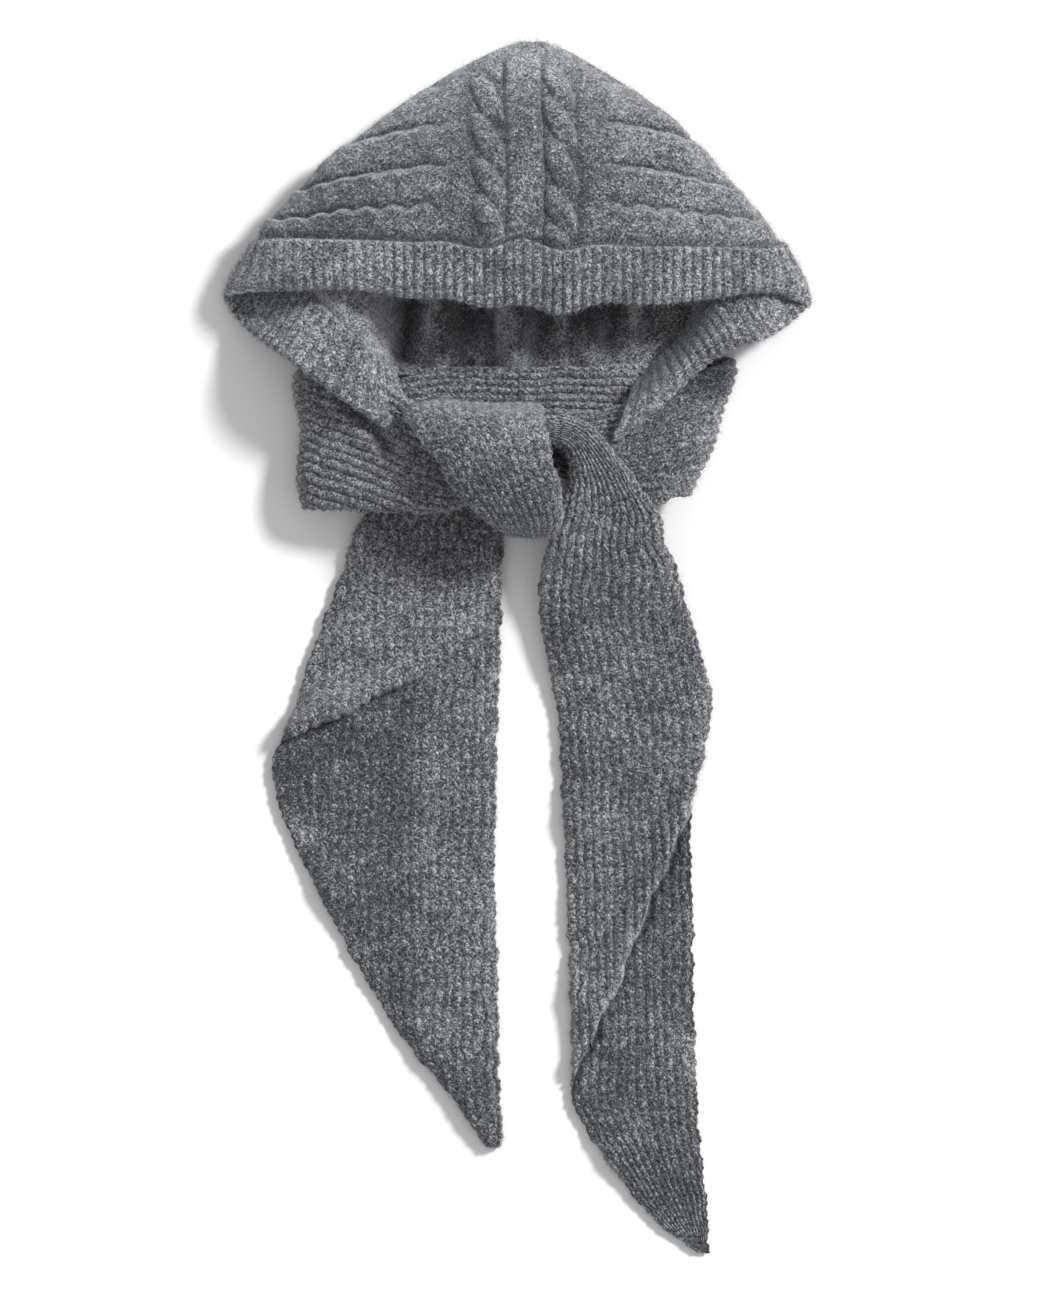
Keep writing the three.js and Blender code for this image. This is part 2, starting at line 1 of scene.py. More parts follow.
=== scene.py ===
# A knitted hood with a scarf tied once in front, laid out flat. Sizes are in metres.
import json
import math
import bpy
import numpy as np
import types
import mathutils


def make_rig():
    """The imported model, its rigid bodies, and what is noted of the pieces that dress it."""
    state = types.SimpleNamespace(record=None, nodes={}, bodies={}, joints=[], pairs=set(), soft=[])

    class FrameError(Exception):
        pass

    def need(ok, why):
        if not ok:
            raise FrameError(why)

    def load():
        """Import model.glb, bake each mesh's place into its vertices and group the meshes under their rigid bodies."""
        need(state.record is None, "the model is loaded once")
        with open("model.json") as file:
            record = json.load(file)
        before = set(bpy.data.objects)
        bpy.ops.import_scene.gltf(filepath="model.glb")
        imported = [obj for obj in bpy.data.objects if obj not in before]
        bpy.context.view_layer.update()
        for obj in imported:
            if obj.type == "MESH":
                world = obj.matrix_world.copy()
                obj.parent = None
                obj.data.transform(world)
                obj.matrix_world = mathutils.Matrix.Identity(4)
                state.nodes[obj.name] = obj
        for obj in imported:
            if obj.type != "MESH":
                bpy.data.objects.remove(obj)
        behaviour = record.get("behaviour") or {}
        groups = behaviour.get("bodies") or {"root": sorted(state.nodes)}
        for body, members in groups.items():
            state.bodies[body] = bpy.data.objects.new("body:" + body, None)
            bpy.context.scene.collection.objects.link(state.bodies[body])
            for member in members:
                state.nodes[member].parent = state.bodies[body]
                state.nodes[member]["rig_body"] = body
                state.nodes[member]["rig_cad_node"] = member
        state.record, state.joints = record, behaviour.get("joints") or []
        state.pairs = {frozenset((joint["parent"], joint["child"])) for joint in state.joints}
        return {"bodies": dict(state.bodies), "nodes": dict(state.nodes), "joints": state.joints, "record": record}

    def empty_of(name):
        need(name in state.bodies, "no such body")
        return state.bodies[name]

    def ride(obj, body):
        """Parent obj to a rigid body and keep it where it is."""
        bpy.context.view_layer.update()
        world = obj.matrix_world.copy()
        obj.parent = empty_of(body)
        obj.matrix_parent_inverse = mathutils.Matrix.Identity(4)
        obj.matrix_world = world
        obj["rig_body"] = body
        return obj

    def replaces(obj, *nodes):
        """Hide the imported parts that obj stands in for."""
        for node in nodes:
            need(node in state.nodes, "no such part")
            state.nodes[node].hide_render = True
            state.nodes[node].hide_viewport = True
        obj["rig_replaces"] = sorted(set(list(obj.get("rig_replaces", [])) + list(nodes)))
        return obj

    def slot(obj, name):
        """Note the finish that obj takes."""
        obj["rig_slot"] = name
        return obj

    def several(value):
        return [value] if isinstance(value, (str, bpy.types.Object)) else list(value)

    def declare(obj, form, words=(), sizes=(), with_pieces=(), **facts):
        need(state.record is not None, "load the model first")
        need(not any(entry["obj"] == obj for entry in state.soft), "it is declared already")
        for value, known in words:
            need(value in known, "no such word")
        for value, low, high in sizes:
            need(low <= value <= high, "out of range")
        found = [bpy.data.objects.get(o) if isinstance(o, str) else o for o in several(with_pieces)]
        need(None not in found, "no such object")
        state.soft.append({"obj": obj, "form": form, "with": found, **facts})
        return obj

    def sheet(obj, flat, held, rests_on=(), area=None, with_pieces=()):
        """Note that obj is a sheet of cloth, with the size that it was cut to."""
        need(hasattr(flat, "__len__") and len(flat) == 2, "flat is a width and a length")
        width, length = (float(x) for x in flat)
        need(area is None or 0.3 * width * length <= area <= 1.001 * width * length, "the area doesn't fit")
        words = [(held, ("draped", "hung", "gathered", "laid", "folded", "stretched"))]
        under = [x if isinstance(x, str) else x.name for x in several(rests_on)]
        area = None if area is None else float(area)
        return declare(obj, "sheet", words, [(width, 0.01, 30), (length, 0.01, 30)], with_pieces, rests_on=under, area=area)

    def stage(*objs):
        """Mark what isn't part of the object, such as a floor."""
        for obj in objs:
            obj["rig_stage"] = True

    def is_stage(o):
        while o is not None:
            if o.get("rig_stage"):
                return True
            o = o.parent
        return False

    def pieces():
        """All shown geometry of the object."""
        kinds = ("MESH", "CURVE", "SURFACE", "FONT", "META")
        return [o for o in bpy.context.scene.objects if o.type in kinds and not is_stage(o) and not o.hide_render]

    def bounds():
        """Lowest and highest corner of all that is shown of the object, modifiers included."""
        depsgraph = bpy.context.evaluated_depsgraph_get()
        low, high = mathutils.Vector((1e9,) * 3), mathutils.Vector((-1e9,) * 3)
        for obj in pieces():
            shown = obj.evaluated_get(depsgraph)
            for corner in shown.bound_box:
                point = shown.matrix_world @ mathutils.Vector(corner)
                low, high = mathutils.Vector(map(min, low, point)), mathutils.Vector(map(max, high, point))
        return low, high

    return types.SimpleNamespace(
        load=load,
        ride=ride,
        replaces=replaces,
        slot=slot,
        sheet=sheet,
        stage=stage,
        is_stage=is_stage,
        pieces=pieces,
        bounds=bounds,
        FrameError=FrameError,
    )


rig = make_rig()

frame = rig.load()
cadBox = [[float(v) for v in corner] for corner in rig.bounds()]
print("frame loaded, box", cadBox)


# Rises softly from 0 to 1 between two values.
def smoothStep(value, low, high):
    t = np.clip((value - low) / (high - low), 0, 1)
    return t * t * (3 - 2 * t)


# A soft bump of height 1 round a place.
def bell(value, middle, width):
    return np.exp(-(((value - middle) / width) ** 2))


# Rows of values by the names of their columns.
def tableOf(columns, *rows):
    return [dict(zip(columns.split(), row)) for row in rows]


# A table's column at any place, on a smooth curve through its rows.
def readTable(rows, column, at):
    places = np.array([row["at"] for row in rows], float)
    values = np.array([row[column] for row in rows], float)
    low = np.maximum(np.arange(len(rows)) - 1, 0)
    high = np.minimum(np.arange(len(rows)) + 1, len(rows) - 1)
    slopes = (values[high] - values[low]) / (places[high] - places[low])
    at = np.asarray(at, float)
    i = np.clip(np.searchsorted(places, at, side="left") - 1, 0, len(rows) - 2)
    span = places[i + 1] - places[i]
    t = np.clip((at - places[i]) / span, 0, 1)
    rise = values[i + 1] - values[i]
    bend = t * (1 - t)
    eased = values[i] + rise * t * t * (3 - 2 * t)
    return eased + span * bend * ((1 - t) * slopes[i] - t * slopes[i + 1])


def unit(vectors):
    return vectors / np.maximum(np.linalg.norm(vectors, axis=-1, keepdims=True), 1e-12)


# Normals of a grid of rings. The grid closes on itself along each ring.
def gridNormals(rings):
    along = np.roll(rings, -1, axis=1) - np.roll(rings, 1, axis=1)
    down = np.gradient(rings, axis=0)
    return unit(np.cross(along, down))


# Soft unevenness that is the same on every run: a few slow waves in odd directions.
def softWaves(x, y, high, size, seed):
    random = np.random.default_rng(seed)
    total = np.zeros(np.broadcast(x, y).shape)
    for _ in range(9):
        angle, phase = random.uniform(0, 2 * math.pi, 2)
        reach = 2 * math.pi / (size * random.uniform(0.6, 1.9))
        total += np.sin((x * math.cos(angle) + y * math.sin(angle)) * reach + phase)
    return high * (total / 3)


# One slow wave along a line.
def sway(at, high, length):
    return high * np.sin(at / length)


# Puts a mesh, a light or a camera into the scene.
def addObject(name, data):
    made = bpy.data.objects.new(name, data)
    bpy.context.scene.collection.objects.link(made)
    return made


# One closed mesh from rings of points. Each end is closed on a point, in its ring's middle.
def closedMesh(name, rings, uv, shade, material, ends=None):
    count, around = rings.shape[:2]
    if ends is None:
        ends = [rings[0].mean(0), rings[-1].mean(0)]
    points = np.concatenate([rings.reshape(-1, 3), ends])
    ring = np.arange(count - 1)[:, None] * around
    this = np.arange(around)[None, :]
    after = (this + 1) % around
    quads = np.stack([ring + this, ring + after, ring + around + after, ring + around + this], -1)
    quads = quads.reshape(-1, 4)
    last = (count - 1) * around
    top = np.stack([np.full(around, count * around), after[0], this[0]], -1)
    end = np.stack([np.full(around, count * around + 1), last + this[0], last + after[0]], -1)
    a, b, c, d = (points[quads[:, i]] for i in range(4))
    volume = np.einsum("ij,ij->", a, np.cross(b, c)) + np.einsum("ij,ij->", a, np.cross(c, d))
    if volume < 0:  # the rings run the other way round
        quads, top, end = quads[:, ::-1], top[:, ::-1], end[:, ::-1]
    corners = np.concatenate([quads.ravel(), top.ravel(), end.ravel()])
    sizes = np.concatenate([np.full(len(quads), 4), np.full(2 * around, 3)])
    starts = np.concatenate([[0], np.cumsum(sizes)[:-1]])
    mesh = bpy.data.meshes.new(name)
    mesh.vertices.add(len(points))
    mesh.vertices.foreach_set("co", points.astype(np.float32).ravel())
    mesh.loops.add(len(corners))
    mesh.loops.foreach_set("vertex_index", corners.astype(np.int32))
    mesh.polygons.add(len(sizes))
    mesh.polygons.foreach_set("loop_start", starts.astype(np.int32))
    mesh.update(calc_edges=True)
    mesh.shade_smooth()
    allUv = np.concatenate([uv.reshape(-1, 2), [uv[0].mean(0), uv[-1].mean(0)]])
    layer = mesh.uv_layers.new(name="cloth")
    layer.data.foreach_set("uv", allUv[corners].astype(np.float32).ravel())
    shades = mesh.attributes.new("shade", "FLOAT", "POINT")
    allShades = np.concatenate([np.broadcast_to(shade, (count, around)).ravel(), [0, 0]])
    shades.data.foreach_set("value", allShades.astype(np.float32))
    mesh.materials.append(material)
    print(name, "has", len(mesh.polygons), "faces")
    return addObject(name, mesh)


# Wraps a node's output, so that shader maths reads as plain expressions.
class NodeValue:
    def __init__(self, socket):
        self.socket = socket

    def make(self, operation, *values):
        return addNode(self.socket.id_data, "ShaderNodeMath", {"operation": operation}, values)

    def __add__(self, other):
        return self.make("ADD", self, other)

    def __radd__(self, other):
        return self.make("ADD", other, self)

    def __sub__(self, other):
        return self.make("SUBTRACT", self, other)

    def __rsub__(self, other):
        return self.make("SUBTRACT", other, self)

    def __mul__(self, other):
        return self.make("MULTIPLY", self, other)

    def __rmul__(self, other):
        return self.make("MULTIPLY", other, self)

    def __truediv__(self, other):
        return self.make("DIVIDE", self, other)


# Adds a node with its settings first, then its sockets, by order or by name.
def addNode(tree, kind, settings, values, output=0):
    node = tree.nodes.new(kind)
    for name, value in settings.items():
        if name == "stops":
            elements = node.color_ramp.elements
            while len(elements) < len(value):
                elements.new(0.5)
            for element, (place, color) in zip(elements, value):
                element.position = place
                element.color = (*color, 1)
        else:
            setattr(node, name, value)
    pairs = values.items() if isinstance(values, dict) else enumerate(values)
    for name, value in pairs:
        if isinstance(value, NodeValue):
            tree.links.new(value.socket, node.inputs[name])
        else:
            node.inputs[name].default_value = value
    return NodeValue(node.outputs[output])


# A new material with its tree and shader, and what is the same all over the surface.
def newMaterial(name, values):
    material = bpy.data.materials.new(name)
    material.use_nodes = True
    shader = material.node_tree.nodes["Principled BSDF"]
    for socket, value in values.items():
        shader.inputs[socket].default_value = value
    return material, material.node_tree, shader


wool = {
    "dark": (0.016, 0.018, 0.021),
    "mid": (0.135, 0.140, 0.150),
    "light": (0.56, 0.57, 0.59),
    "stops": (0.37, 0.50, 0.65),  # where the three lie on the scale from dark to light
    "fleckScale": 760,
    "patchScale": 200,
    "cloudScale": 22,
    "fineScale": 1300,
    "warpScale": 320,
    "warp": 0.0030,  # how far the flecks are bent out of their way
    "patchStrength": 0.30,
    "cloudStrength": 0.16,
    "stitchStrength": 0.016,
    "shadeStrength": 0.1,  # how much the mesh's shade attribute darkens: its painted shade and painted light, and some tone of the wool's own
    "legSlant": 1.4,  # how much a stitch's two legs lean towards each other
    "stitchWander": 1.6,
    "bumpHeight": 0.0012,
    "surface": {
        "Roughness": 0.95,
        "Specular IOR Level": 0.15,
        "Sheen Roughness": 0.5,
        "Sheen Tint": (0.8, 0.83, 0.87, 1),
    },
}


def noise(tree, place, scale, detail, output=0, **more):
    values = {"Vector": place, "Scale": scale, "Detail": detail, **more}
    return addNode(tree, "ShaderNodeTexNoise", {}, values, output)


# Melange wool: dark, mid and light fibres in flecks, under slow changes of tone.
def woolMaterial(name, tone, sheen, columnPitch, rowPitch, stitchDepth, grooveShade):
    material, tree, shader = newMaterial(name, {**wool["surface"], "Sheen Weight": sheen})
    place = addNode(tree, "ShaderNodeTexCoord", {}, {}, "Object")
    cloth = addNode(tree, "ShaderNodeUVMap", {"uv_map": "cloth"}, {})
    warp = noise(tree, place, wool["warpScale"], 1, "Color")
    bent = addNode(tree, "ShaderNodeVectorMath", {"operation": "MULTIPLY_ADD"},
                   [warp, (wool["warp"],) * 3, place])
    flecks = noise(tree, bent, wool["fleckScale"], 2.5, Roughness=0.7)
    patches = noise(tree, place, wool["patchScale"], 2)
    clouds = noise(tree, place, wool["cloudScale"], 2)
    # The stitches stand in columns along the cloth and in rows across it
    sideways = addNode(tree, "ShaderNodeSeparateXYZ", {}, [cloth])
    lengthways = NodeValue(sideways.socket.node.outputs[1])
    column = sideways / columnPitch
    row = lengthways / rowPitch
    fraction = addNode(tree, "ShaderNodeMath", {"operation": "FRACT"}, [column])
    legs = addNode(tree, "ShaderNodeMath", {"operation": "ABSOLUTE"}, [fraction - 0.5])
    groove = addNode(tree, "ShaderNodeMath", {"operation": "POWER"}, [1 - legs * 2, 3.0])
    phase = (row + legs * wool["legSlant"] + patches * wool["stitchWander"]) * (2 * math.pi)
    stitch = addNode(tree, "ShaderNodeMath", {"operation": "SINE"}, [phase])
    shade = addNode(tree, "ShaderNodeAttribute", {"attribute_name": "shade"}, {}, "Fac")
    level = (flecks + (patches - 0.5) * wool["patchStrength"]
             + (clouds - 0.5) * wool["cloudStrength"] + stitch * wool["stitchStrength"])
    # Painted shade in the rib grooves, and the shade attribute's painted shade and painted light
    level = level - groove * grooveShade - shade * wool["shadeStrength"]
    colors = [[part * tone for part in wool[kind]] for kind in ("dark", "mid", "light")]
    stops = list(zip(wool["stops"], colors))
    color = addNode(tree, "ShaderNodeValToRGB", {"stops": stops}, [level])
    tree.links.new(color.socket, shader.inputs["Base Color"])
    fine = noise(tree, bent, wool["fineScale"], 2)
    height = stitch * stitchDepth + flecks * 1.3 + fine * 0.6 + patches * 0.5
    bump = addNode(tree, "ShaderNodeBump", {},
                   {"Height": height, "Distance": wool["bumpHeight"], "Strength": 1.0})
    tree.links.new(bump.socket, shader.inputs["Normal"])
    return material


crownWool = woolMaterial("crown_wool", tone=0.82, sheen=1.0, columnPitch=0.0052,
                         rowPitch=0.0042, stitchDepth=0.12, grooveShade=0.0)
bandWool = woolMaterial("band_wool", tone=1.08, sheen=0.6, columnPitch=0.0065,
                        rowPitch=0.0042, stitchDepth=0.16, grooveShade=0.055)
scarfWool = woolMaterial("scarf_wool", tone=0.87, sheen=0.6, columnPitch=0.0066,
                         rowPitch=0.0048, stitchDepth=0.28, grooveShade=0.05)
print("wools made")

# The hood and the lie of its cloth. A level is 0 at the peak and 1 at the band's seam.
hood = {
    "width": 0.376,  # band tip to band tip
    "crownHeight": 0.131,
    "crownRoundness": 1.3,
    "outlineFoot": 0.26,  # where below the seam its full width is, in crown heights
    "peakShift": 0.009,
    "wall": 0.0045,
    "pocketHeight": 0.054,
    "topRoundness": 0.85,
    "foldHeight": 0.014,
    "foldReach": (0.34, 0.4),  # how far the side folds reach under, and more at the seam
    "neckDrop": 0.087,
    "neckHalf": 0.080,
    "neckSoftness": 0.08,
    "leftBulge": (0.036, 0.110, 0.060, 1.25),  # height, how far out, half width, fall inwards
    "rightBulge": (0.024, 0.136, 0.036, 5),
    "bulgeFlank": 0.58,  # how much steeper the folds drop towards the middle
    "leftFullness": 1,  # how long the left fold stays high before it drops into the crevice
    "backFold": 0.009,
    "backFoldPitch": 0.044,
    "backFoldHalf": 0.066,
    "backRipple": (0.6, 0.009),
    "ridges": ((-0.0546, 0.0075), (-0.0055, 0.005), (0.030, 0.005), (0.076, 0.006)),
    "ridgeHeight": 0.0044,
    "crevice": (-0.0735, 0.0060),  # place and half width, as for the ridges
    "seamWave": (0.0035, 0.003, 0.056, 0.045),  # height, middle, length and reach
    "seamSag": (0.0012, 0.0032, 0.11),  # all along, more in the middle, and its reach
    "seamSlope": 0.02,
    "dents": (0.0016, 0.06, 4),  # height, size and seed
    "innerDents": (0.0018, 0.022, 9),
    "upperPoints": 290,
    "lowerPoints": 110,
    "outerLevels": 165,
    "innerLevels": 70,
}

# Painted shade and painted light on the hood's wool, by part: more is darker, less than 0 is paler
paintedHoodShade = {
    # Painted shade in the knit's grooves and on the crown's lower middle, painted light on its peak
    "grooves": 0.7,
    "lowFront": 0.35,
    "peak": -0.35,
    # Painted shade deep in the pocket and in the crevice, painted light on the left fold inside
    "pocket": 1.55,
    "ridges": 3.1,  # painted light on the pocket's ridges, taken away from the pocket's painted shade
    "leftFold": -0.55,
    "crevice": 1.1,
}

# How the whole lies
layout = {
    "knotDrop": 0.148,  # from the band's seam to the knot's middle
    "longTail": 0.509,  # from the knot's middle to the tip
    "shortTail": 0.440,
    "clearance": 0.0003,
}

lyingLength = hood["crownHeight"] + layout["knotDrop"] + layout["longTail"]
peakY = lyingLength / 2
seamY = peakY - hood["crownHeight"]
knotY = seamY - layout["knotDrop"]
footY = seamY - hood["outlineFoot"] * hood["crownHeight"]

# Heights of the upper layer and of the side folds, down the hood
pocketRows = tableOf(
    "at top fold",
    (0, 0.24, 0.85),
    (0.15, 0.46, 0.95),
    (0.4, 0.72, 1),
    (0.7, 0.9, 1),
    (1, 1, 1),
)


def outlineHalf(y):
    rise = np.clip((y - footY) / (peakY - footY), 0, 1)
    power = hood["crownRoundness"]
    return hood["width"] / 2 * (1 - rise ** power) ** (1 / power)


# Mid wall of the hood. The angle runs round a level, from the right fold over the upper layer.
def hoodPoint(angle, level):
    angle, level = np.broadcast_arrays(np.asarray(angle, float), np.asarray(level, float))
    turn = np.radians(angle)
    sideY = peakY - level * hood["crownHeight"]
    half = outlineHalf(sideY)
    x = half * np.cos(turn) + hood["peakShift"] * (1 - level) ** 2
    outward = np.abs(x) / np.maximum(half, 1e-6)
    rise = np.sin(turn)
    fold = hood["foldHeight"] * readTable(pocketRows, "fold", level)
    top = hood["pocketHeight"] * readTable(pocketRows, "top", level)
    upperZ = fold + np.maximum(top - fold, 0) * np.maximum(rise, 0) ** hood["topRoundness"]
    # The lower layer, with a bulge on each side of the throat and small folds between them
    under = np.maximum(-rise, 0)
    ease = level ** 2 * (3 - 2 * level)
    rest = hood["wall"] / 2
    foldReach, seamReach = hood["foldReach"]
    edge = np.maximum(0, 1 - under / (foldReach + seamReach * level ** 4)) ** 2
    inPocket = 1 - smoothStep(level, 0.9, 1)
    flank = hood["bulgeFlank"] + (1 - hood["bulgeFlank"]) * smoothStep(level, 0.93, 1)
    bulge = 0
    for side, (high, middle, wide, fall) in ((-1, hood["leftBulge"]), (1, hood["rightBulge"])):
        past = x * side - middle
        near = np.minimum(1, np.abs(past) / (wide * np.where(past < 0, flank, 1)))
        slope = np.cos(near * math.pi / 2) ** 2
        fullness = hood["leftFullness"] * (side < 0) * (past < 0) * inPocket
        full = (1 - near ** 4) ** 1.5
        bulge += high * level ** fall * (slope + (full - slope) * fullness)
    bulge *= 1 - smoothStep(outward, 0.85, 1) * (1 - smoothStep(level, 0.75, 0.95))
    share, length = hood["backRipple"]
    waves = np.cos(2 * math.pi * x / hood["backFoldPitch"]) + share * np.cos(x / length)
    calm = np.maximum(0, 1 - (np.abs(x) / hood["backFoldHalf"]) ** 4)
    folds = hood["backFold"] * ease ** 2 * calm * inPocket * np.maximum(0, waves)
    lowerZ = rest + (fold - rest) * edge + bulge + folds
    # The neck's edge hangs lower than the sides, and the band's seam waves a little
    inward = (1 - outward) / (1 - hood["neckHalf"] / outlineHalf(seamY))
    short = 1 - inward
    drop = hood["neckDrop"] * ease * (1 - (short + np.hypot(short, hood["neckSoftness"])) / 2)
    high, middle, length, reach = hood["seamWave"]
    ripple = high * np.cos(2 * math.pi * (x - middle) / length) * bell(x, middle, reach)
    allAlong, more, reach = hood["seamSag"]
    sag = allAlong + more * bell(x, 0, reach)
    seamShift = 1.15 * ripple - sag - hood["seamSlope"] * x
    seamShift = seamShift * level ** 6 * np.clip(rise * 3, 0, 1)
    isUpper = rise >= 0
    y = np.where(isUpper, sideY + seamShift, sideY - drop)
    z = np.where(isUpper, upperZ, lowerZ)
    return np.stack([x, y, z], -1)


# The two upright cables, with a plain column between them
cables = {
    "panelMiddle": 0.004,
    "panelHalf": 0.054,
    "wander": (0.0012, 0.021),  # how far the panel sways, over what length
    "columnHalf": 0.012,
    "columnHeight": 0.0021,
    "wide": 0.022,
    "depth": 0.0036,
    "period": 0.027,
    "unevenness": (0.07, 0.013),  # of the crossings
    "rightLead": 0.35,  # how much earlier the right cable crosses, in crossings
    "besideHeight": 0.0011,
    "groove": 0.0019,
    "grooves": ((0.62, 0.0019), (0.45, 0.0026), (0.15, 0.0030)),  # share of the depth, half width
    "plySlant": 1.25,
    "plyReach": 0.72,
    "plyHalf": 0.70,
    "plyRoundness": 0.42,
}

# The crosswise cables of the side panels. Each one's scalloped top edge stands over the next.
sideCables = {
    "depth": 0.0040,
    "firstLine": 0.020,  # height of the lowest crosswise line over the band
    "droop": 0.5,  # how much the lines sink towards the tips
    "droopReach": 0.09,
    "scallop": (0.0034, 0.0172),  # height and length
    "scallopUnevenness": (0.5, 0.019),
    "scallopFade": (0.65, 0.030, 0.042),  # how much, and between which heights over the band
    "wander": (0.0016, 0.024),
    "lapSteepness": 6.5,
    "valley": (0.96, 0.055),  # place in a cable's width, and half width
    "plyLength": 0.0165,
    "shares": (0.85, 0.22, 0.5),  # of the lap, the plies and the valley
}


# A rope of two plies seen from the front, across from -1 to 1 and turn in crossings.
def ropeHeight(across, turn):
    best = np.zeros(np.broadcast(across, turn).shape)
    for ply in range(2):
        part = np.mod(turn + ply, 2) / cables["plySlant"]
        middle = -cables["plyReach"] + 2 * cables["plyReach"] * part
        dome = np.clip(1 - ((across - middle) / cables["plyHalf"]) ** 2, 0, 1)
        front = np.where(part < 1, np.sin(math.pi * np.clip(part, 0, 1)) ** 0.5, 0)
        best = np.maximum(best, dome ** cables["plyRoundness"] * front)
    return best * np.clip(1 - np.abs(across) ** 8, 0, 1)


def sideRelief(x, y, out):
    above = y - seamY
    droop = np.clip((out - cables["panelHalf"]) / sideCables["droopReach"], 0, 1) ** 2
    droop = -sideCables["droop"] * above * droop
    high, length = sideCables["scallop"]
    uneven = sway(x, *sideCables["scallopUnevenness"])
    scallops = high * np.abs(np.sin(math.pi * x / length + uneven))
    fade, low, top = sideCables["scallopFade"]
    scallops *= 1 - fade * smoothStep(above, low, top)
    scallops += sway(x, *sideCables["wander"])
    line = seamY + sideCables["firstLine"] - y + droop + scallops
    across = np.mod(line / cables["period"], 1)
    lap = np.clip(across * sideCables["lapSteepness"], 0, 1) * (0.2 + 0.8 * (1 - across) ** 1.3)
    plies = ropeHeight(np.clip(2 * across - 1, -1, 1), x / sideCables["plyLength"])
    lapShare, plyShare, valleyShare = sideCables["shares"]
    valley = bell(across, *sideCables["valley"])
    relief = sideCables["depth"] * (lapShare * lap + plyShare * plies - valleyShare * valley)
    return relief * (0.6 + 0.4 * smoothStep(out, cables["panelHalf"], cables["panelHalf"] + 0.035))


# The knitted relief of the crown's outer face, over the place it has when laid flat.
def crownRelief(x, y):
    off = x - cables["panelMiddle"] - sway(y, *cables["wander"])
    out = np.abs(off)
    columnHalf, panelHalf = cables["columnHalf"], cables["panelHalf"]
    ropeEnd = columnHalf + cables["wide"]
    uneven, length = cables["unevenness"]
    turn = (seamY - y) / cables["period"] + uneven * np.sin(y / length + np.sign(off))
    turn += cables["rightLead"] * (off > 0)
    across = 2 * (out - columnHalf) / cables["wide"] - 1
    rope = cables["depth"] * ropeHeight(np.clip(across * np.sign(off), -1, 1), turn)
    rope *= smoothStep(peakY - y, 0.008, 0.040)
    column = cables["columnHeight"] * np.sqrt(np.clip(1 - (out / columnHalf) ** 2.6, 0, 1))
    besideShare = np.clip((out - ropeEnd) / (panelHalf - ropeEnd), 0, 1)
    beside = cables["besideHeight"] * np.sin(math.pi * besideShare)
    blend = smoothStep(out, panelHalf - 0.010, panelHalf + 0.005)
    side = beside * (1 - blend) + sideRelief(x, y, out) * blend
    side *= smoothStep(peakY - y, 0.006, 0.030)
    lines = 0
    for place, (share, wide) in zip((columnHalf, ropeEnd, panelHalf), cables["grooves"]):
        lines += share * bell(out, place, wide)
    groove = cables["groove"] * (0.8 + 0.3 * np.sin(y / 0.011 + x / 0.02)) * lines
    relief = np.where(out < columnHalf, column, np.where(out < ropeEnd, rope, side))
    return relief - groove


# Angles round the hood, closer together over the cables.
def hoodAngles():
    u = 1 - 2 * np.arange(hood["upperPoints"]) / hood["upperPoints"]
    upper = 90 - 90 * (0.55 * u + 0.45 * u ** 3)
    lower = 180 + 180 * np.arange(hood["lowerPoints"]) / hood["lowerPoints"]
    return np.concatenate([upper, lower])


# One face of the hood's wall, the outer one for side 1 and the inner one for side -1.
def hoodFace(side, count, first):
    angles = hoodAngles()[None, :]
    last = 1 - layout["clearance"] / hood["crownHeight"]
    levels = (first + (last - first) * (np.arange(count + 1) / count) ** 1.1)[:, None]
    middle = hoodPoint(angles, levels)
    normal = gridNormals(middle)
    if normal[count // 2, hood["upperPoints"] // 2, 2] < 0:
        normal = -normal
    x, y = middle[..., 0], middle[..., 1]
    above = np.sin(np.radians(angles)) * np.ones_like(levels)
    fade = smoothStep(above, 0.03, 0.18) * smoothStep(levels, 0.03, 0.15)
    hem = smoothStep(levels, 0.95, 0.995)
    dents = softWaves(x, y, *hood["dents"]) * np.maximum(fade, 0.2)
    lift = side * hood["wall"] / 2 * (1 - 0.95 * hem) + dents
    if side > 0:
        knit = crownRelief(x, y) * fade * (1 - hem)
        lift += knit
        # Painted shade in the grooves and on the lower middle, painted light on the peak
        low = smoothStep(levels, 0.25, 0.6) * (1 - smoothStep(x, 0.03, 0.09))
        peak = 1 - smoothStep(levels, 0.1, 0.35)
        shade = np.clip(0.7 - knit / 0.0022, 0, 1) * fade * paintedHoodShade["grooves"]
        shade = shade + paintedHoodShade["lowFront"] * low + paintedHoodShade["peak"] * peak
    else:
        below = above < 0
        deep = below * smoothStep(levels, 0.5, 0.8)
        ridges = sum(bell(x, at, wide) for at, wide in hood["ridges"])
        dents = softWaves(x, y * 0.35, *hood["innerDents"])
        lift -= (hood["ridgeHeight"] * ridges + dents) * deep
        # Painted shade deep in the pocket and in the crevice, painted light on its ridges and on the left fold
        at, wide = hood["crevice"]
        pocket = paintedHoodShade["pocket"] - paintedHoodShade["ridges"] * np.minimum(ridges, 1) * deep
        pastCrevice = smoothStep(x, at - 0.011, at - 0.003)
        shade = smoothStep(1 - levels, 0.09, 0.26) * pocket * pastCrevice
        shade += paintedHoodShade["leftFold"] * (1 - pastCrevice) * deep
        shade += paintedHoodShade["crevice"] * below * bell(x, at, wide)
    points = middle + normal * lift[..., None]
    points[..., 2] = np.maximum(points[..., 2], 0)
    return points, middle[..., :2], shade


def buildHood():
    outer, outerUv, outerShade = hoodFace(1, hood["outerLevels"], 0.012)
    inner, innerUv, innerShade = hoodFace(-1, hood["innerLevels"], 0.05)
    rings = np.concatenate([outer, inner[::-1]])
    uv = np.concatenate([outerUv, innerUv[::-1]])
    shade = np.concatenate([outerShade, innerShade[::-1]])
    pole = np.array([hood["peakShift"], peakY, hood["foldHeight"] * pocketRows[0]["fold"]])
    innerPole = pole - [0, 1.4 * hood["wall"], 0]
    return closedMesh("hood_crown", rings, uv, shade, crownWool, [pole, innerPole])


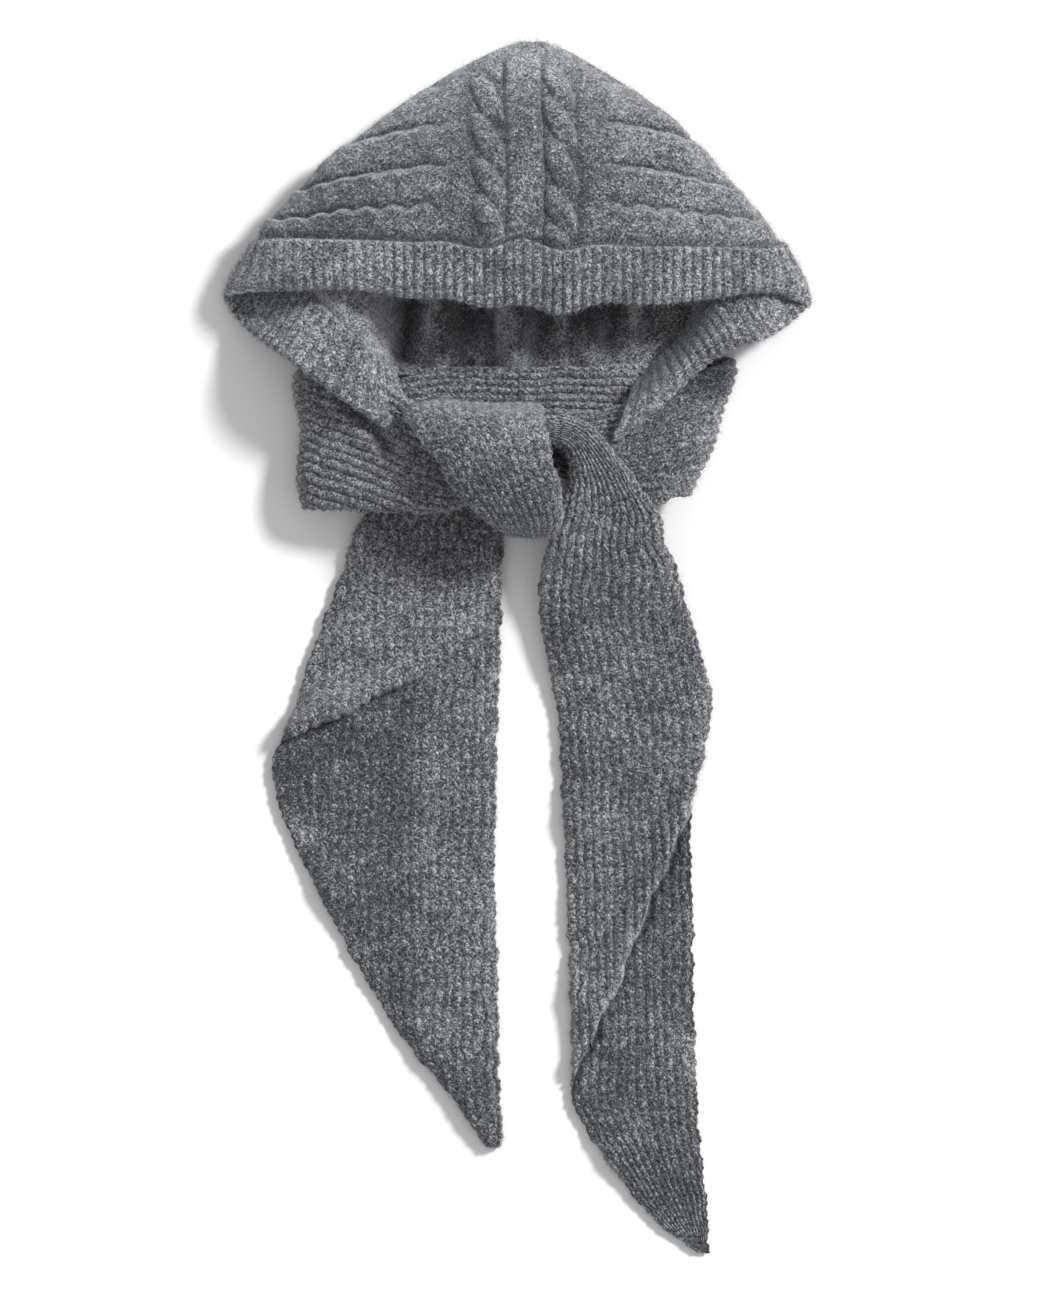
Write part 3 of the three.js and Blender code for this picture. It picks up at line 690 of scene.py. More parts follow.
band = {
    "width": 0.037,
    "thick": 0.007,
    "ribPitch": 0.0065,
    "ribDepth": 0.0019,
    "end": 62,  # degrees past the side folds
    "overlap": 0.0012,  # how far the band's top edge laps over the crown
    "endArch": 0.013,  # how far its right end rolls up over the scarf
    "rollOut": 0.0018,  # how far its free edge stands out
    "edgeWave": (0.0014, 0.05, 12),  # height, size and seed
    "edgeRibs": 0.0011,
    "dents": (0.0016, 0.07, 21),
    "points": 780,
    "facePoints": 30,
    "edgePoints": 7,
    "backPoints": 22,
    "flatShare": 0.93,  # of its width, where the rounded edge begins
    "roundShare": 0.07,
}

# How dark the band's parts are over its wool: darker along its seam, paler on the left of its top run, and a painted
# shadow under the upper band's edge on the right
bandShade = {
    "seam": 0.25,
    "leftTop": -0.4,
    "underEdge": 1.3,
}

# Which way the band hangs from its seam: shares of its width, from the middle to each end
bandRows = {
    "left": tableOf(
        "at out down lift",
        (0, 0, 1.08, 0.12),
        (0.13, 0, 0.93, 0.11),
        (0.3, 0, 0.86, 0.08),
        (0.45, 0.08, 0.88, 0.04),
        (0.59, 0.53, 0.9, -0.05),
        (0.7, 0.62, 1, 0),
        (0.82, 0.66, 0.95, 0.12),
        (0.92, 0.42, 0.97, 0.22),
        (1, -0.4, 1.3, 0.34),
    ),
    "right": tableOf(
        "at out down lift",
        (0, 0, 1.08, 0.12),
        (0.19, 0, 1, 0.11),
        (0.3, 0, 0.86, 0.08),
        (0.48, 0.08, 0.78, 0),
        (0.59, 0.53, 1.05, -0.05),
        (0.7, 0.58, 1, 0),
        (0.82, 0.5, 0.92, 0.22),
        (0.92, 0.33, 0.62, 0.8),
        (0.96, 0.12, 0.68, 0.95),
        (1, -0.5, 1.2, 0.85),
    ),
}


def buildBand():
    # Points at even steps along the seam, from left to right
    fine = np.linspace(0, 90 + band["end"], 600)
    seam = hoodPoint(90 + fine, 1)
    lengths = np.concatenate([[0], np.cumsum(np.linalg.norm(np.diff(seam, axis=0), axis=1))])
    share = np.linspace(-1, 1, band["points"])
    spread = np.interp(np.abs(share) * lengths[-1], lengths, fine) * np.sign(share)
    angles = 90 - spread
    seam = hoodPoint(angles, 1)
    along = unit(hoodPoint(angles + 0.5, 1) - hoodPoint(angles - 0.5, 1))
    at = np.abs(angles - 90) / (90 + band["end"])
    isLeft = angles > 90
    onRight = np.where(isLeft, 0, at)
    leftward = -seam[:, 0]

    def read(column):
        left, right = (readTable(bandRows[side], column, at) for side in ("left", "right"))
        return np.where(isLeft, left, right)

    way = np.stack([np.where(isLeft, -1, 1) * read("out"), -read("down"), read("lift")], -1)
    out = -unit(np.cross(along, way))
    # One turn round the strip: its face, its rounded free edge and its back
    face = band["flatShare"] * np.linspace(0, 1, band["facePoints"]) ** 1.3
    bow = np.linspace(-0.5, 0.5, band["edgePoints"] + 2)[1:-1] * math.pi
    back = band["flatShare"] * np.linspace(1, 0, band["backPoints"]) ** 1.3
    across = np.concatenate([face, band["flatShare"] + band["roundShare"] * np.cos(bow), back])
    off = np.concatenate([np.ones(len(face)), -np.sin(bow), -np.ones(len(back))])
    isBack = np.arange(len(across)) >= len(face) + len(bow)
    # The ribs, softer on the left and on the lower runs
    length = share * lengths[-1]
    ribs = np.abs(np.cos(math.pi * length / band["ribPitch"]))
    soft = 0.55 * smoothStep(leftward, 0.05, 0.13) * (at < 0.6)
    soft += 0.2 * smoothStep(onRight, 0.86, 0.93)
    soft += 0.3 * smoothStep(at, 0.58, 0.68)
    crest = 0.7 * soft[:, None] + (1 - soft[:, None]) * ribs[:, None] ** 0.6
    fade = smoothStep(across, 0, 0.05)[None, :]
    edge = softWaves(length, 0 * length, *band["edgeWave"]) + band["edgeRibs"] * (ribs - 0.6)
    reach = across[None, :] * (band["width"] + band["overlap"] + edge[:, None]) - band["overlap"]
    puff = 1 + 0.12 * np.sin(math.pi * across) + 0.22 * bell(across, 0.09, 0.05)
    puff = (puff * np.sqrt(1 - np.clip(1 - across / 0.08, 0, 1) ** 2))[None, :]
    roll = band["rollOut"] * smoothStep(across, 0.7, 1)[None, :]
    half = band["thick"] / 2 - band["ribDepth"] + band["ribDepth"] * crest * fade
    dents = softWaves(length[:, None], across[None, :] * band["width"], *band["dents"])
    lift = off[None, :] * half * puff + roll + dents * fade
    rings = seam[:, None] + way[:, None] * reach[..., None] + out[:, None] * lift[..., None]
    arch = band["endArch"] * smoothStep(onRight, 0.82, 0.93)[:, None]
    rings[..., 2] += arch * np.sin(math.pi * np.clip(across, 0, 1) ** 1.3)[None, :]
    rings[..., 2] = np.maximum(rings[..., 2], 0)
    uv = np.stack([length[:, None] + 0 * reach, reach + 0.05 * isBack[None, :]], -1)
    leftTop = smoothStep(leftward, 0.06, 0.12) * (at < 0.6)
    underEdge = smoothStep(onRight, 0.56, 0.62) * (1 - smoothStep(onRight, 0.72, 0.84))
    nearSeam = 1 - smoothStep(across, 0.15, 0.65)
    # Darker along the seam, paler on the left of the top run, and a painted shadow under the upper band's edge on the
    # right
    shade = bandShade["seam"] * (1 - fade) + bandShade["leftTop"] * leftTop[:, None] + 0 * reach
    shade += bandShade["underEdge"] * underEdge[:, None] * nearSeam[None, :]
    return closedMesh("ribbed_band", rings, uv, shade, bandWool)


# The scarf is folded double. Both halves meet at the centre back of the neck.
scarf = {
    "width": 0.092,
    "thick": 0.010,
    "knotHeight": 0.060,
    "ribPitch": 0.0066,
    "ribDepth": 0.0016,
    "neckRibs": (0.5, 0.24, 0.32),  # how much deeper they are there, and where along that ends
    "neckSlant": (0.155, 0.12),  # where the neck's ribs begin to slant, and for how long
    "creased": (0.16, 0.40),  # where along the neck's creases lie
    "scallop": (0.0006, 0.0064),  # height and length of the edge's scallops
    "edgeWave": (0.0008, 0.02),  # height and size of its unevenness
    "wander": (0.0009, 0.05),
    "dents": (0.0020, 0.07, 40),  # height, size and seed
    "layerStep": 0.0036,
    "curl": 0.0085,  # how far a folded layer's edge lifts
    "hollow": (0.127, 0.178, 0.016, 0.012),  # the deep place under the band, darkened by painted shade: middle, half sizes
    "facePoints": 112,
    "underPoints": 62,
    "step": 0.0021,
}

# How dark the scarf's parts are over its wool: the lower layer's own tone, painted shadow beside folded edges, and
# painted shade in creases, at the wrap's foot and in the hollow
scarfShade = {
    "lowerLayer": 0.6,
    "trench": 3.0,  # painted shadow beside a folded edge
    "crease": 150,  # for each metre of its depth
    "wrapFoot": 1.5,
    "hollow": 1.9,
}

# Each half's way through the knot: places in scarf widths from the knot, turns in degrees
strandColumns = "out down height wide thick turn tilt"
leftStrandRows = tableOf(
    strandColumns,
    (0.010, -0.395, 0.14, 0.7, 0.95, 90, 0.07),
    (-0.55, -0.4, 0.14, 0.7, 1, 90, 0.07),
    (-1.14, -0.27, 0.09, 0.9, 1, 90, 0),
    (-1.44, -0.24, 0.17, 1, 1, 90, 0),
    (-1.51, -0.24, 0.28, 1, 1, 90, 0),
    (-1.43, -0.24, 0.4, 1, 1.05, 90, 0),
    (-1.15, -0.2, 0.5, 0.96, 1.1, 88, 0),
    (-0.85, -0.13, 0.55, 0.82, 1.3, 86, 0),
    (-0.52, -0.05, 0.62, 0.67, 1.9, 88, 0),
    (-0.2, -0.08, 0.6, 0.5, 2.2, 90, 0),
    (0.06, -0.22, 0.64, 0.28, 2.4, 90, 0),
    (0.22, -0.285, 0.7, 0.16, 2.4, 84, 0),
    (0.385, -0.245, 0.72, 0.21, 2.1, 46, 0),
    (0.49, -0.14, 0.71, 0.28, 1.8, 20, 0),
    (0.565, -0.02, 0.67, 0.4, 1.6, 2, 0),
    (0.62, 0.13, 0.62, 0.55, 1.4, -6, 0),
    (0.645, 0.3, 0.56, 0.71, 1.2, -4, 0),
)

rightStrandRows = tableOf(
    strandColumns,
    (0.002, -0.395, 0.14, 0.7, 1, 90, 0.07),
    (0.55, -0.4, 0.14, 0.7, 1, 88, 0.07),
    (1.06, -0.33, 0.09, 0.92, 1, 78, 0),
    (1.29, -0.32, 0.16, 1.02, 1, 73, -0.03),
    (1.36, -0.32, 0.26, 1.02, 1, 73, -0.1),
    (1.28, -0.3, 0.36, 1, 1.05, 73, -0.14),
    (1.05, -0.22, 0.44, 0.94, 1.1, 75, -0.1),
    (0.76, -0.15, 0.44, 0.74, 1.2, 78, -0.04),
    (0.48, -0.17, 0.36, 0.52, 1.3, 76, 0),
    (0.18, -0.24, 0.34, 0.44, 1.4, 60, 0),
    (-0.09, -0.32, 0.35, 0.54, 1.4, 28, 0),
    (-0.26, -0.4, 0.44, 0.82, 1.3, 6, 0),
    (-0.31, -0.41, 0.68, 0.99, 1.3, 0, 0),
    (-0.29, -0.33, 0.92, 0.95, 1.3, 0, 0),
    (-0.17, -0.08, 1.05, 0.83, 1.4, 0, 0),
    (-0.07, 0.15, 1.03, 0.74, 1.4, 0, 0),
    (0.03, 0.33, 0.92, 0.56, 1.4, 0, 0),
    (0.07, 0.4, 0.7, 0.38, 1.4, 0, 0),
    (0.02, 0.34, 0.46, 0.36, 1.1, -6, 0),
    (-0.15, 0.19, 0.38, 0.46, 1, -10, 0),
    (-0.31, 0.09, 0.27, 0.62, 0.9, -8, 0),
    (-0.46, 0.17, 0.14, 0.86, 0.9, -4, 0),
)

# The tails' edges: reach in shares of the tail's length, left and right in scarf widths
tailColumns = "reach left right height"
longTailRows = tableOf(
    tailColumns,
    (0.085, 0.22, 1.02, 0.5),
    (0.117, 0.17, 1.11, 0.38),
    (0.16, 0.14, 1.18, 0.24),
    (0.234, 0.2, 1.3, 0.13),
    (0.292, 0.26, 1.38, 0.1),
    (0.33, 0.285, 1.35, 0.09),
    (0.379, 0.3, 1.29, 0.085),
    (0.42, 0.31, 1.23, 0.085),
    (0.57, 0.35, 1.235, 0.085),
    (0.74, 0.38, 1.25, 0.085),
    (0.81, 0.4, 1.27, 0.08),
    (0.88, 0.64, 1.3, 0.075),
    (0.96, 1, 1.345, 0.07),
    (0.995, 1.27, 1.35, 0.065),
)

shortTailRows = tableOf(
    tailColumns,
    (0.075, -1.12, -0.09, 0.1),
    (0.157, -1.26, -0.11, 0.09),
    (0.277, -1.475, -0.125, 0.09),
    (0.36, -1.6, -0.14, 0.09),
    (0.41, -1.71, -0.15, 0.085),
    (0.45, -1.73, -0.15, 0.085),
    (0.506, -1.66, -0.155, 0.085),
    (0.59, -1.48, -0.165, 0.085),
    (0.742, -1.09, -0.14, 0.08),
    (0.852, -0.75, -0.135, 0.075),
    (0.928, -0.435, -0.125, 0.07),
    (0.98, -0.28, -0.1, 0.065),
    (0.995, -0.22, -0.13, 0.065),
)


# A half's two tables as stations, each with its distance from the start.
def stationsOf(strandRows, tailRows, tailLength):
    width, high = scarf["width"], scarf["knotHeight"]

    def station(out, drop, height, wide, thick=1, turn=0, tilt=0):
        return {"x": out * width, "y": knotY - drop, "z": height * high, "wide": wide * width,
                "thick": thick * scarf["thick"], "turn": turn, "tilt": tilt * high}

    stations = []
    for row in strandRows:
        stations.append(station(row["out"], row["down"] * width, row["height"],
                                row["wide"], row["thick"], row["turn"], row["tilt"]))
    for row in tailRows:
        stations.append(station((row["left"] + row["right"]) / 2, row["reach"] * tailLength,
                                row["height"], row["right"] - row["left"]))
    at = 0
    before = stations[0]
    for station in stations:
        at += math.dist([station[k] for k in "xyz"], [before[k] for k in "xyz"])
        station["at"] = at
        before = station
    return stations


# Where the upper layer of each tail ends: shares of the tail's length and the scarf's width
longTailFold = {"start": 0.36, "reach": (0.43, 0.7), "out": (1.22, 0.57)}
shortTailFold = {"reach": (0.383, 0.308), "out": (-1.58, -0.79), "closed": -0.6}
foldEdge = {
    "step": 0.0008,  # half the width over which a layer ends
    "lip": (-0.022, -0.001),  # where before its edge the layer rises
    "trench": 0.4,  # how deep the lower layer sinks beside it, as a share of the lip
}


# How much of the upper layer lies at a point, and how far its folded edge curls up.
def longTailLayer(place):
    reached = (knotY - place[..., 1]) / layout["longTail"]
    share = (reached - longTailFold["reach"][0]) / np.ptp(longTailFold["reach"])
    outs = longTailFold["out"]
    edgeX = scarf["width"] * (outs[0] + (outs[1] - outs[0]) * share)
    edgeX += sway(place[..., 1], 0.0012, 0.006)
    past = place[..., 0] - edgeX
    there = 1 - smoothStep(past, -foldEdge["step"], foldEdge["step"])
    lip = there * smoothStep(past, *foldEdge["lip"]) * (1 - 0.6 * smoothStep(reached, 0.55, 0.75))
    trench = (1 - there) * (1 - smoothStep(past, 0, 0.006))
    lying = reached >= longTailFold["start"]
    return np.where(lying, there, 1), np.where(lying, lip - foldEdge["trench"] * trench, 0)


def shortTailLayer(place):
    x = place[..., 0]
    out = x / scarf["width"]
    outs, reaches = shortTailFold["out"], shortTailFold["reach"]
    share = (out - outs[0]) / (outs[1] - outs[0])
    reach = reaches[0] + (reaches[1] - reaches[0]) * share
    foldY = knotY - layout["shortTail"] * reach
    foldY = foldY + sway(x, 0.0005, 0.0055) + sway(x, 0.0004, 0.0017)
    aside = smoothStep(out, outs[1] - 0.15, shortTailFold["closed"])
    past = foldY - place[..., 1]
    below = smoothStep(past, -foldEdge["step"], foldEdge["step"])
    lip = (1 - below) * smoothStep(past, *foldEdge["lip"])
    trench = below * (1 - smoothStep(past, 0, 0.008))
    inKnot = place[..., 2] > 0.3 * scarf["knotHeight"]
    there = np.where(inKnot, 1, 1 - below * (1 - aside))
    return there, np.where(inKnot, 0, (lip - foldEdge["trench"] * trench) * (1 - aside))


# Creases of the neck's outer layer: the points each runs through, its depth and half width
creaseColumns = "points depth wide"
leftCreases = tableOf(
    creaseColumns,
    (((-0.109, 0.163), (-0.099, 0.150), (-0.083, 0.130)), 0.0045, 0.0042),
    (((-0.132, 0.120), (-0.112, 0.112), (-0.090, 0.108)), 0.0012, 0.0035),
)
rightCreases = tableOf(
    creaseColumns,
    (((0.103, 0.162), (0.106, 0.151), (0.113, 0.141), (0.123, 0.137)), 0.0022, 0.0028),
    (((0.085, 0.149), (0.099, 0.147), (0.113, 0.139), (0.127, 0.130)), 0.0018, 0.0026),
    (((0.090, 0.112), (0.106, 0.107), (0.116, 0.106)), 0.0014, 0.0030),
)


# A groove along a line, with its cloth pushed up on either side.
def creaseDepth(x, y, line):
    nearest = np.full(x.shape, np.inf)
    for (ax, ay), (bx, by) in zip(line["points"], line["points"][1:]):
        run = (bx - ax) ** 2 + (by - ay) ** 2
        t = np.clip(((x - ax) * (bx - ax) + (y - ay) * (by - ay)) / run, 0, 1)
        nearest = np.minimum(nearest, np.hypot(x - ax - t * (bx - ax), y - ay - t * (by - ay)))
    near = nearest / line["wide"]
    return line["depth"] * (bell(near, 0, 1) - 0.45 * bell(near, 2.2, 1))


# What differs from one half to the other. Lengths along a half start at the centre back.
leftHalf = {
    "ribsTurn": -1,  # station where the ribs change to the other edge
    "slant": 0.25,
    "darker": ((0.40, 0), (0.46, 0.3), (0.58, 0.25), (0.68, -0.2)),  # length along, shade
    "wrap": (),  # stations between which it lies over the knot
    "seed": 31,
}
rightHalf = {
    "ribsTurn": 18,
    "slant": 0,
    "darker": ((0.13, 0), (0.16, 0.4), (0.24, 0.4), (0.27, 0), (0.83, 0), (0.88, 0.7)),
    "wrap": (11, 13, 18),
    "seed": 57,
}


def buildStrand(name, half, stations, layerOf, creases):
    end = stations[-1]["at"]
    count = int(end / scarf["step"])
    at = np.linspace(0, end, count + 1)
    seed = half["seed"]

    def centre(where):
        return np.stack([readTable(stations, axis, where) for axis in "xyz"], -1)

    along = unit(centre(np.minimum(at + 0.0005, end)) - centre(np.maximum(at - 0.0005, 0)))
    turn = np.radians(readTable(stations, "turn", at))
    across = np.stack([np.cos(turn), np.sin(turn), 0 * turn], -1)
    up = unit(np.cross(along, across))
    high, length = scarf["scallop"]
    edge = high * np.sin(2 * math.pi * at / length)
    edge += softWaves(at, 0 * at, *scarf["edgeWave"], seed + 2)
    edge *= smoothStep(at, 0, 0.03)
    halfWidth = readTable(stations, "wide", at)[:, None] / 2 + edge[:, None]
    thick = readTable(stations, "thick", at)[:, None]
    # One turn round the strip, with points closer together at its edges
    t = np.linspace(-1, 1, scarf["facePoints"])
    face = 1.12 * t - 0.12 * t ** 3
    t = np.linspace(1, -1, scarf["underPoints"] + 2)[1:-1]
    under = 1.12 * t - 0.12 * t ** 3
    share = np.concatenate([face, under])[None, :]
    side = np.concatenate([np.ones(len(face)), -np.ones(len(under))])[None, :]
    place = centre(at)[:, None] + across[:, None] * (share * halfWidth)[..., None]
    place[..., 2] += share * readTable(stations, "tilt", at)[:, None]
    there, lip = layerOf(place)
    oval = (1 - np.abs(share) ** 4) ** 0.5
    lower = np.where(side > 0, scarf["layerStep"] * (1 - there), 0)
    curled = np.where(side > 0, scarf["curl"] * lip, 0) * smoothStep(oval, 0, 0.5)
    reach = oval * (thick / 2 - lower) + curled
    rings = place + up[:, None] * (side * reach)[..., None]
    normal = gridNormals(rings)
    if np.mean(np.sum(normal * up[:, None] * side[..., None], -1)) < 0:
        normal = -normal
    # The ribs follow one edge, and past the hidden station in the knot the other
    ribWidth = np.maximum(2 * halfWidth, 0.95 * scarf["width"])
    fromLeft = (share + 1) / 2 * ribWidth
    fromRight = (share - 1) * halfWidth
    s = at[:, None] + 0 * share
    wander = softWaves(fromLeft, s, *scarf["wander"], seed) * smoothStep(s, 0, 0.03)
    slantStart, slantLength = scarf["neckSlant"]
    wander += half["slant"] * np.clip(s - slantStart, 0, slantLength)
    q = np.where(s < stations[half["ribsTurn"]]["at"], fromLeft, fromRight) + wander
    crest = np.abs(np.cos(math.pi * q / scarf["ribPitch"])) ** 0.6
    isWrap = 0 * s
    if half["wrap"]:
        start, full, over = [stations[i]["at"] for i in half["wrap"]]
        isWrap = smoothStep(s, start, full) * (1 - smoothStep(s, full, over))
    deeper, low, top = scarf["neckRibs"]
    strength = 1 + deeper * (1 - smoothStep(s, low, top)) - 0.5 * isWrap
    start, over = scarf["creased"]
    fold = sum(creaseDepth(place[..., 0], place[..., 1], line) for line in creases)
    fold *= (side > 0) * (s > start) * (s < over)
    dents = softWaves(place[..., 0], place[..., 1], *scarf["dents"])
    lift = scarf["ribDepth"] * (crest - 0.7) * strength + dents - fold
    lift *= np.clip(oval * 1.6, 0, 1)
    rings += normal * lift[..., None]
    rings[..., 2] = np.maximum(rings[..., 2], 0)
    x, y = rings[..., 0], rings[..., 1]
    uv = np.stack([q, s + np.where(side > 0, 0, 0.001)], -1)
    # The lower layer's own darker tone, painted shadow beside folded edges, painted shade in the creases and at the
    # wrap's foot, and the darker and paler stretches along the half
    shade = np.where(side > 0, scarfShade["lowerLayer"] * (1 - there), 0)
    shade += scarfShade["trench"] * np.clip(-lip, 0, 1)
    shade = shade + scarfShade["crease"] * np.maximum(fold, 0) + np.interp(s, *zip(*half["darker"]))
    shade += scarfShade["wrapFoot"] * isWrap * smoothStep(knotY + 0.030 - y, 0, 0.060)
    if half["wrap"]:
        # Painted shade in the deep place under the band
        hollowX, hollowY, wide, long = scarf["hollow"]
        away = ((x - hollowX) / wide) ** 2 + ((y - hollowY) / long) ** 2
        shade += scarfShade["hollow"] * np.exp(-away)
    return closedMesh(name, rings, uv, shade, scarfWool)


crownPiece = buildHood()
bandPiece = buildBand()
leftStations = stationsOf(leftStrandRows, longTailRows, layout["longTail"])
rightStations = stationsOf(rightStrandRows, shortTailRows, layout["shortTail"])
leftPiece = buildStrand("scarf_with_long_tail", leftHalf, leftStations, longTailLayer, leftCreases)
rightPiece = buildStrand("scarf_with_short_tail", rightHalf, rightStations, shortTailLayer,
                         rightCreases)
print("cloth pieces made")

fuzz = {
    "length": 0.0040,
    "radius": 0.00008,
    "tipOut": 0.0008,
    "perPiece": 24000,
    "lean": 1.15,
    "sizes": (0.45, 1.35),
    "sizeSeed": 5,
    "lowestFacing": -0.4,  # faces that point further down get none
    "colorScale": 900,
    "stops": [(0.38, (0.05, 0.055, 0.06)), (0.5, (0.17, 0.18, 0.19)), (0.66, (0.46, 0.475, 0.49))],
}


# One loose fibre: a thin bent spike on three sides.
def spikeMesh(material):
    mesh = bpy.data.meshes.new("wool_fibre")
    radius = fuzz["radius"]
    points = [(math.cos(a) * radius, math.sin(a) * radius, 0) for a in (0, 2.0944, 4.18879)]
    points.append((fuzz["tipOut"], 0, fuzz["length"]))
    mesh.from_pydata(points, [], [(0, 2, 1), (0, 1, 3), (1, 2, 3), (2, 0, 3)])
    mesh.materials.append(material)
    return bpy.data.objects.new("wool_fibre", mesh)


def fibreMaterial():
    material, tree, shader = newMaterial("loose_fibres", {"Roughness": 0.9})
    place = addNode(tree, "ShaderNodeTexCoord", {}, {}, "Object")
    spots = noise(tree, place, fuzz["colorScale"], 1)
    color = addNode(tree, "ShaderNodeValToRGB", {"stops": fuzz["stops"]}, [spots])
    tree.links.new(color.socket, shader.inputs["Base Color"])
    return material


looseFibres = fibreMaterial()
fibre = spikeMesh(looseFibres)


# Loose fibres that stand out of the cloth, scattered over a piece by geometry nodes.
def fuzzTree():
    tree = bpy.data.node_groups.new("wool_fuzz", "GeometryNodeTree")
    inputs = {"Geometry": "Geometry", "Density": "Float", "Seed": "Int", "Lean": "Float"}
    for name, kind in inputs.items():
        tree.interface.new_socket(name, in_out="INPUT", socket_type="NodeSocket" + kind)
    tree.interface.new_socket("Geometry", in_out="OUTPUT", socket_type="NodeSocketGeometry")
    enter = tree.nodes.new("NodeGroupInput").outputs
    given = {name: NodeValue(enter[name]) for name in inputs}
    normal = addNode(tree, "GeometryNodeInputNormal", {}, {})
    facing = addNode(tree, "ShaderNodeSeparateXYZ", {}, [normal], 2)
    showing = addNode(tree, "FunctionNodeCompare", {"operation": "GREATER_THAN"},
                      {"A": facing, "B": fuzz["lowestFacing"]})
    points = addNode(tree, "GeometryNodeDistributePointsOnFaces", {},
                     {"Mesh": given["Geometry"], "Selection": showing,
                      "Density": given["Density"], "Seed": given["Seed"]})
    upright = NodeValue(points.socket.node.outputs["Rotation"])
    spike = addNode(tree, "GeometryNodeObjectInfo", {}, {"Object": fibre}, "Geometry")
    # Each fibre leans its own way from the cloth's normal
    spin = addNode(tree, "FunctionNodeRandomValue", {"data_type": "FLOAT_VECTOR"},
                   {"Min": (-1, -1, -math.pi), "Max": (1, 1, math.pi)})
    most = addNode(tree, "ShaderNodeCombineXYZ", {}, [given["Lean"], given["Lean"], 1])
    lean = addNode(tree, "ShaderNodeVectorMath", {"operation": "MULTIPLY"}, [spin, most])
    turn = addNode(tree, "FunctionNodeEulerToRotation", {}, [lean])
    leaning = addNode(tree, "FunctionNodeRotateRotation", {"rotation_space": "LOCAL"},
                      [upright, turn])
    size = addNode(tree, "FunctionNodeRandomValue", {},
                   {2: fuzz["sizes"][0], 3: fuzz["sizes"][1], "Seed": fuzz["sizeSeed"]}, 1)
    fibres = addNode(tree, "GeometryNodeInstanceOnPoints", {},
                     {"Points": points, "Instance": spike, "Rotation": leaning, "Scale": size})
    real = addNode(tree, "GeometryNodeRealizeInstances", {}, [fibres])
    painted = addNode(tree, "GeometryNodeSetMaterial", {},
                      {"Geometry": real, "Material": looseFibres})
    tree.links.new(painted.socket, tree.nodes.new("NodeGroupOutput").inputs[0])
    return tree


fuzzNodes = fuzzTree()


def addFuzz(piece, name, seed):
    area = sum(face.area for face in piece.data.polygons if face.normal.z > fuzz["lowestFacing"])
    host = addObject(name + "_host", piece.data)
    modifier = host.modifiers.new("fuzz", "NODES")
    modifier.node_group = fuzzNodes
    sockets = {item.name: item.identifier for item in fuzzNodes.interface.items_tree
               if item.in_out == "INPUT"}
    modifier[sockets["Density"]] = float(fuzz["perPiece"] / area)
    modifier[sockets["Seed"]] = seed
    modifier[sockets["Lean"]] = float(fuzz["lean"])
    graph = bpy.context.evaluated_depsgraph_get()
    mesh = bpy.data.meshes.new_from_object(host.evaluated_get(graph))
    mesh.name = name
    points = np.empty(len(mesh.vertices) * 3, np.float32)
    mesh.vertices.foreach_get("co", points)
    points[2::3] = np.maximum(points[2::3], layout["clearance"])  # none lies under the floor
    mesh.vertices.foreach_set("co", points)
    bpy.data.objects.remove(host)
    print(name, "has", len(mesh.polygons), "faces")
    return addObject(name, mesh)


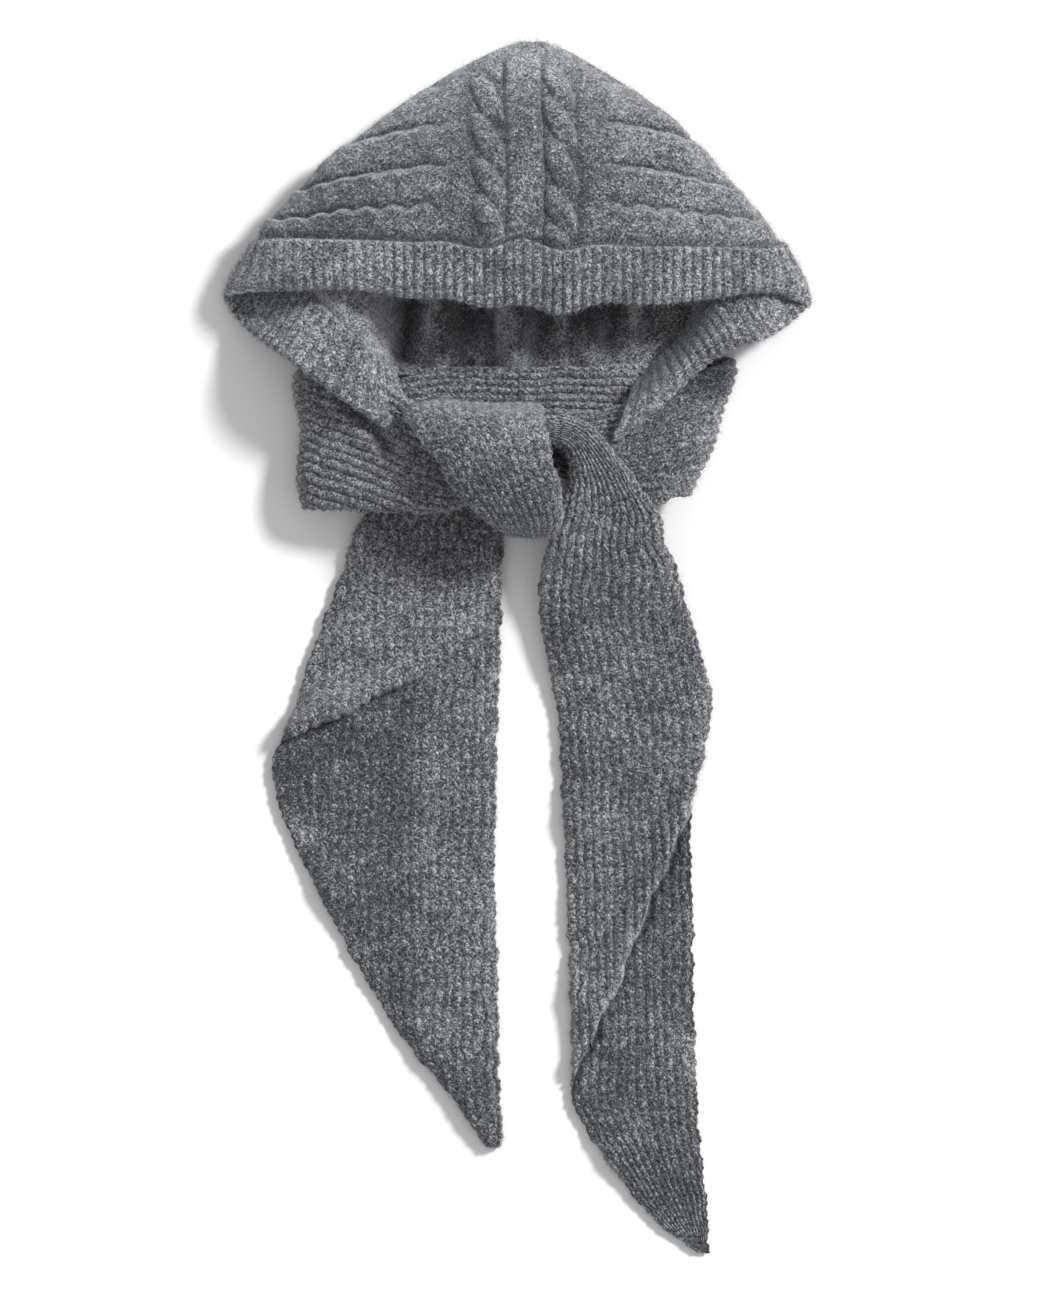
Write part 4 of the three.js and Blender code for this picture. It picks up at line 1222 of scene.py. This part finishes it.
# Each cloth piece, with its fuzz and seed, its flat size as knitted and how it lies
pieces = [
    (crownPiece, "crown_fuzz", "hood_shell", "cable_knit", 11,
     {"flat": (0.42, 0.26), "area": 0.094, "held": "folded", "rests_on": ["floor"]}),
    (bandPiece, "band_fuzz", "face_band", "rib_knit", 12,
     {"flat": (0.037, 0.86), "held": "folded", "rests_on": ["hood_crown"]}),
    (leftPiece, "long_tail_fuzz", "scarf_left", "scarf_knit", 13,
     {"flat": (0.103, 0.88), "area": 0.080, "held": "laid",
      "rests_on": ["scarf_with_short_tail", "floor"]}),
    (rightPiece, "short_tail_fuzz", "scarf_right", "scarf_knit", 14,
     {"flat": (0.145, 0.96), "area": 0.088, "held": "laid", "rests_on": ["hood_crown", "floor"]}),
]
for piece, fuzzName, node, slotName, seed, cloth in pieces:
    loose = addFuzz(piece, fuzzName, seed)
    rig.ride(piece, "root")
    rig.ride(loose, "root")
    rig.replaces(piece, node)
    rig.slot(piece, slotName)
    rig.slot(loose, slotName)
    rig.sheet(piece, with_pieces=[loose], **cloth)
print("fuzz made, sheets declared")

stage = {
    "reach": 6,
    "surface": {"Base Color": (0.86, 0.86, 0.855, 1), "Roughness": 0.9},
}


def addStage():
    mesh = bpy.data.meshes.new("floor")
    reach = stage["reach"]
    corners = [(-reach, -reach, 0), (reach, -reach, 0), (reach, reach, 0), (-reach, reach, 0)]
    mesh.from_pydata(corners, [], [(0, 1, 2, 3)])
    mesh.materials.append(newMaterial("pale_floor", stage["surface"])[0])
    floor = addObject("floor", mesh)
    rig.stage(floor)


light = {
    "strength": 4.0,
    "softness": 11,  # degrees across
    "towards": (0.84, 0.54, 0.70),
    "sky": 0.58,
}


def addLight():
    world = bpy.data.worlds.new("studio")
    world.use_nodes = True
    sky = world.node_tree.nodes["Background"]
    sky.inputs["Color"].default_value = (1, 1, 1, 1)
    sky.inputs["Strength"].default_value = light["sky"]
    bpy.context.scene.world = world
    data = bpy.data.lights.new("window", "SUN")
    data.energy = light["strength"]
    data.angle = math.radians(light["softness"])
    x, y, z = light["towards"]
    sun = addObject("window", data)
    sun.rotation_euler = (math.atan2(math.hypot(x, y), z), 0, math.atan2(x, -y))


view = {
    "height": 4.0,
    "frameLength": 0.845,  # of floor along the picture's long side
    "sensor": 36,
    "right": 0.0013,
}


def addCamera():
    data = bpy.data.cameras.new("overhead")
    data.sensor_width = view["sensor"]
    data.lens = view["sensor"] * view["height"] / view["frameLength"]
    data.clip_end = 50
    camera = addObject("overhead", data)
    camera.location = (view["right"], 0, view["height"])
    bpy.context.scene.camera = camera


addStage()
addLight()
addCamera()
bpy.context.scene.view_settings.view_transform = "Standard"
print("stage, light and camera set")

visualBox = [[float(v) for v in corner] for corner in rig.bounds()]
with open("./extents.json", "w") as sizeFile:
    json.dump({"cad": cadBox, "visual": visualBox}, sizeFile)
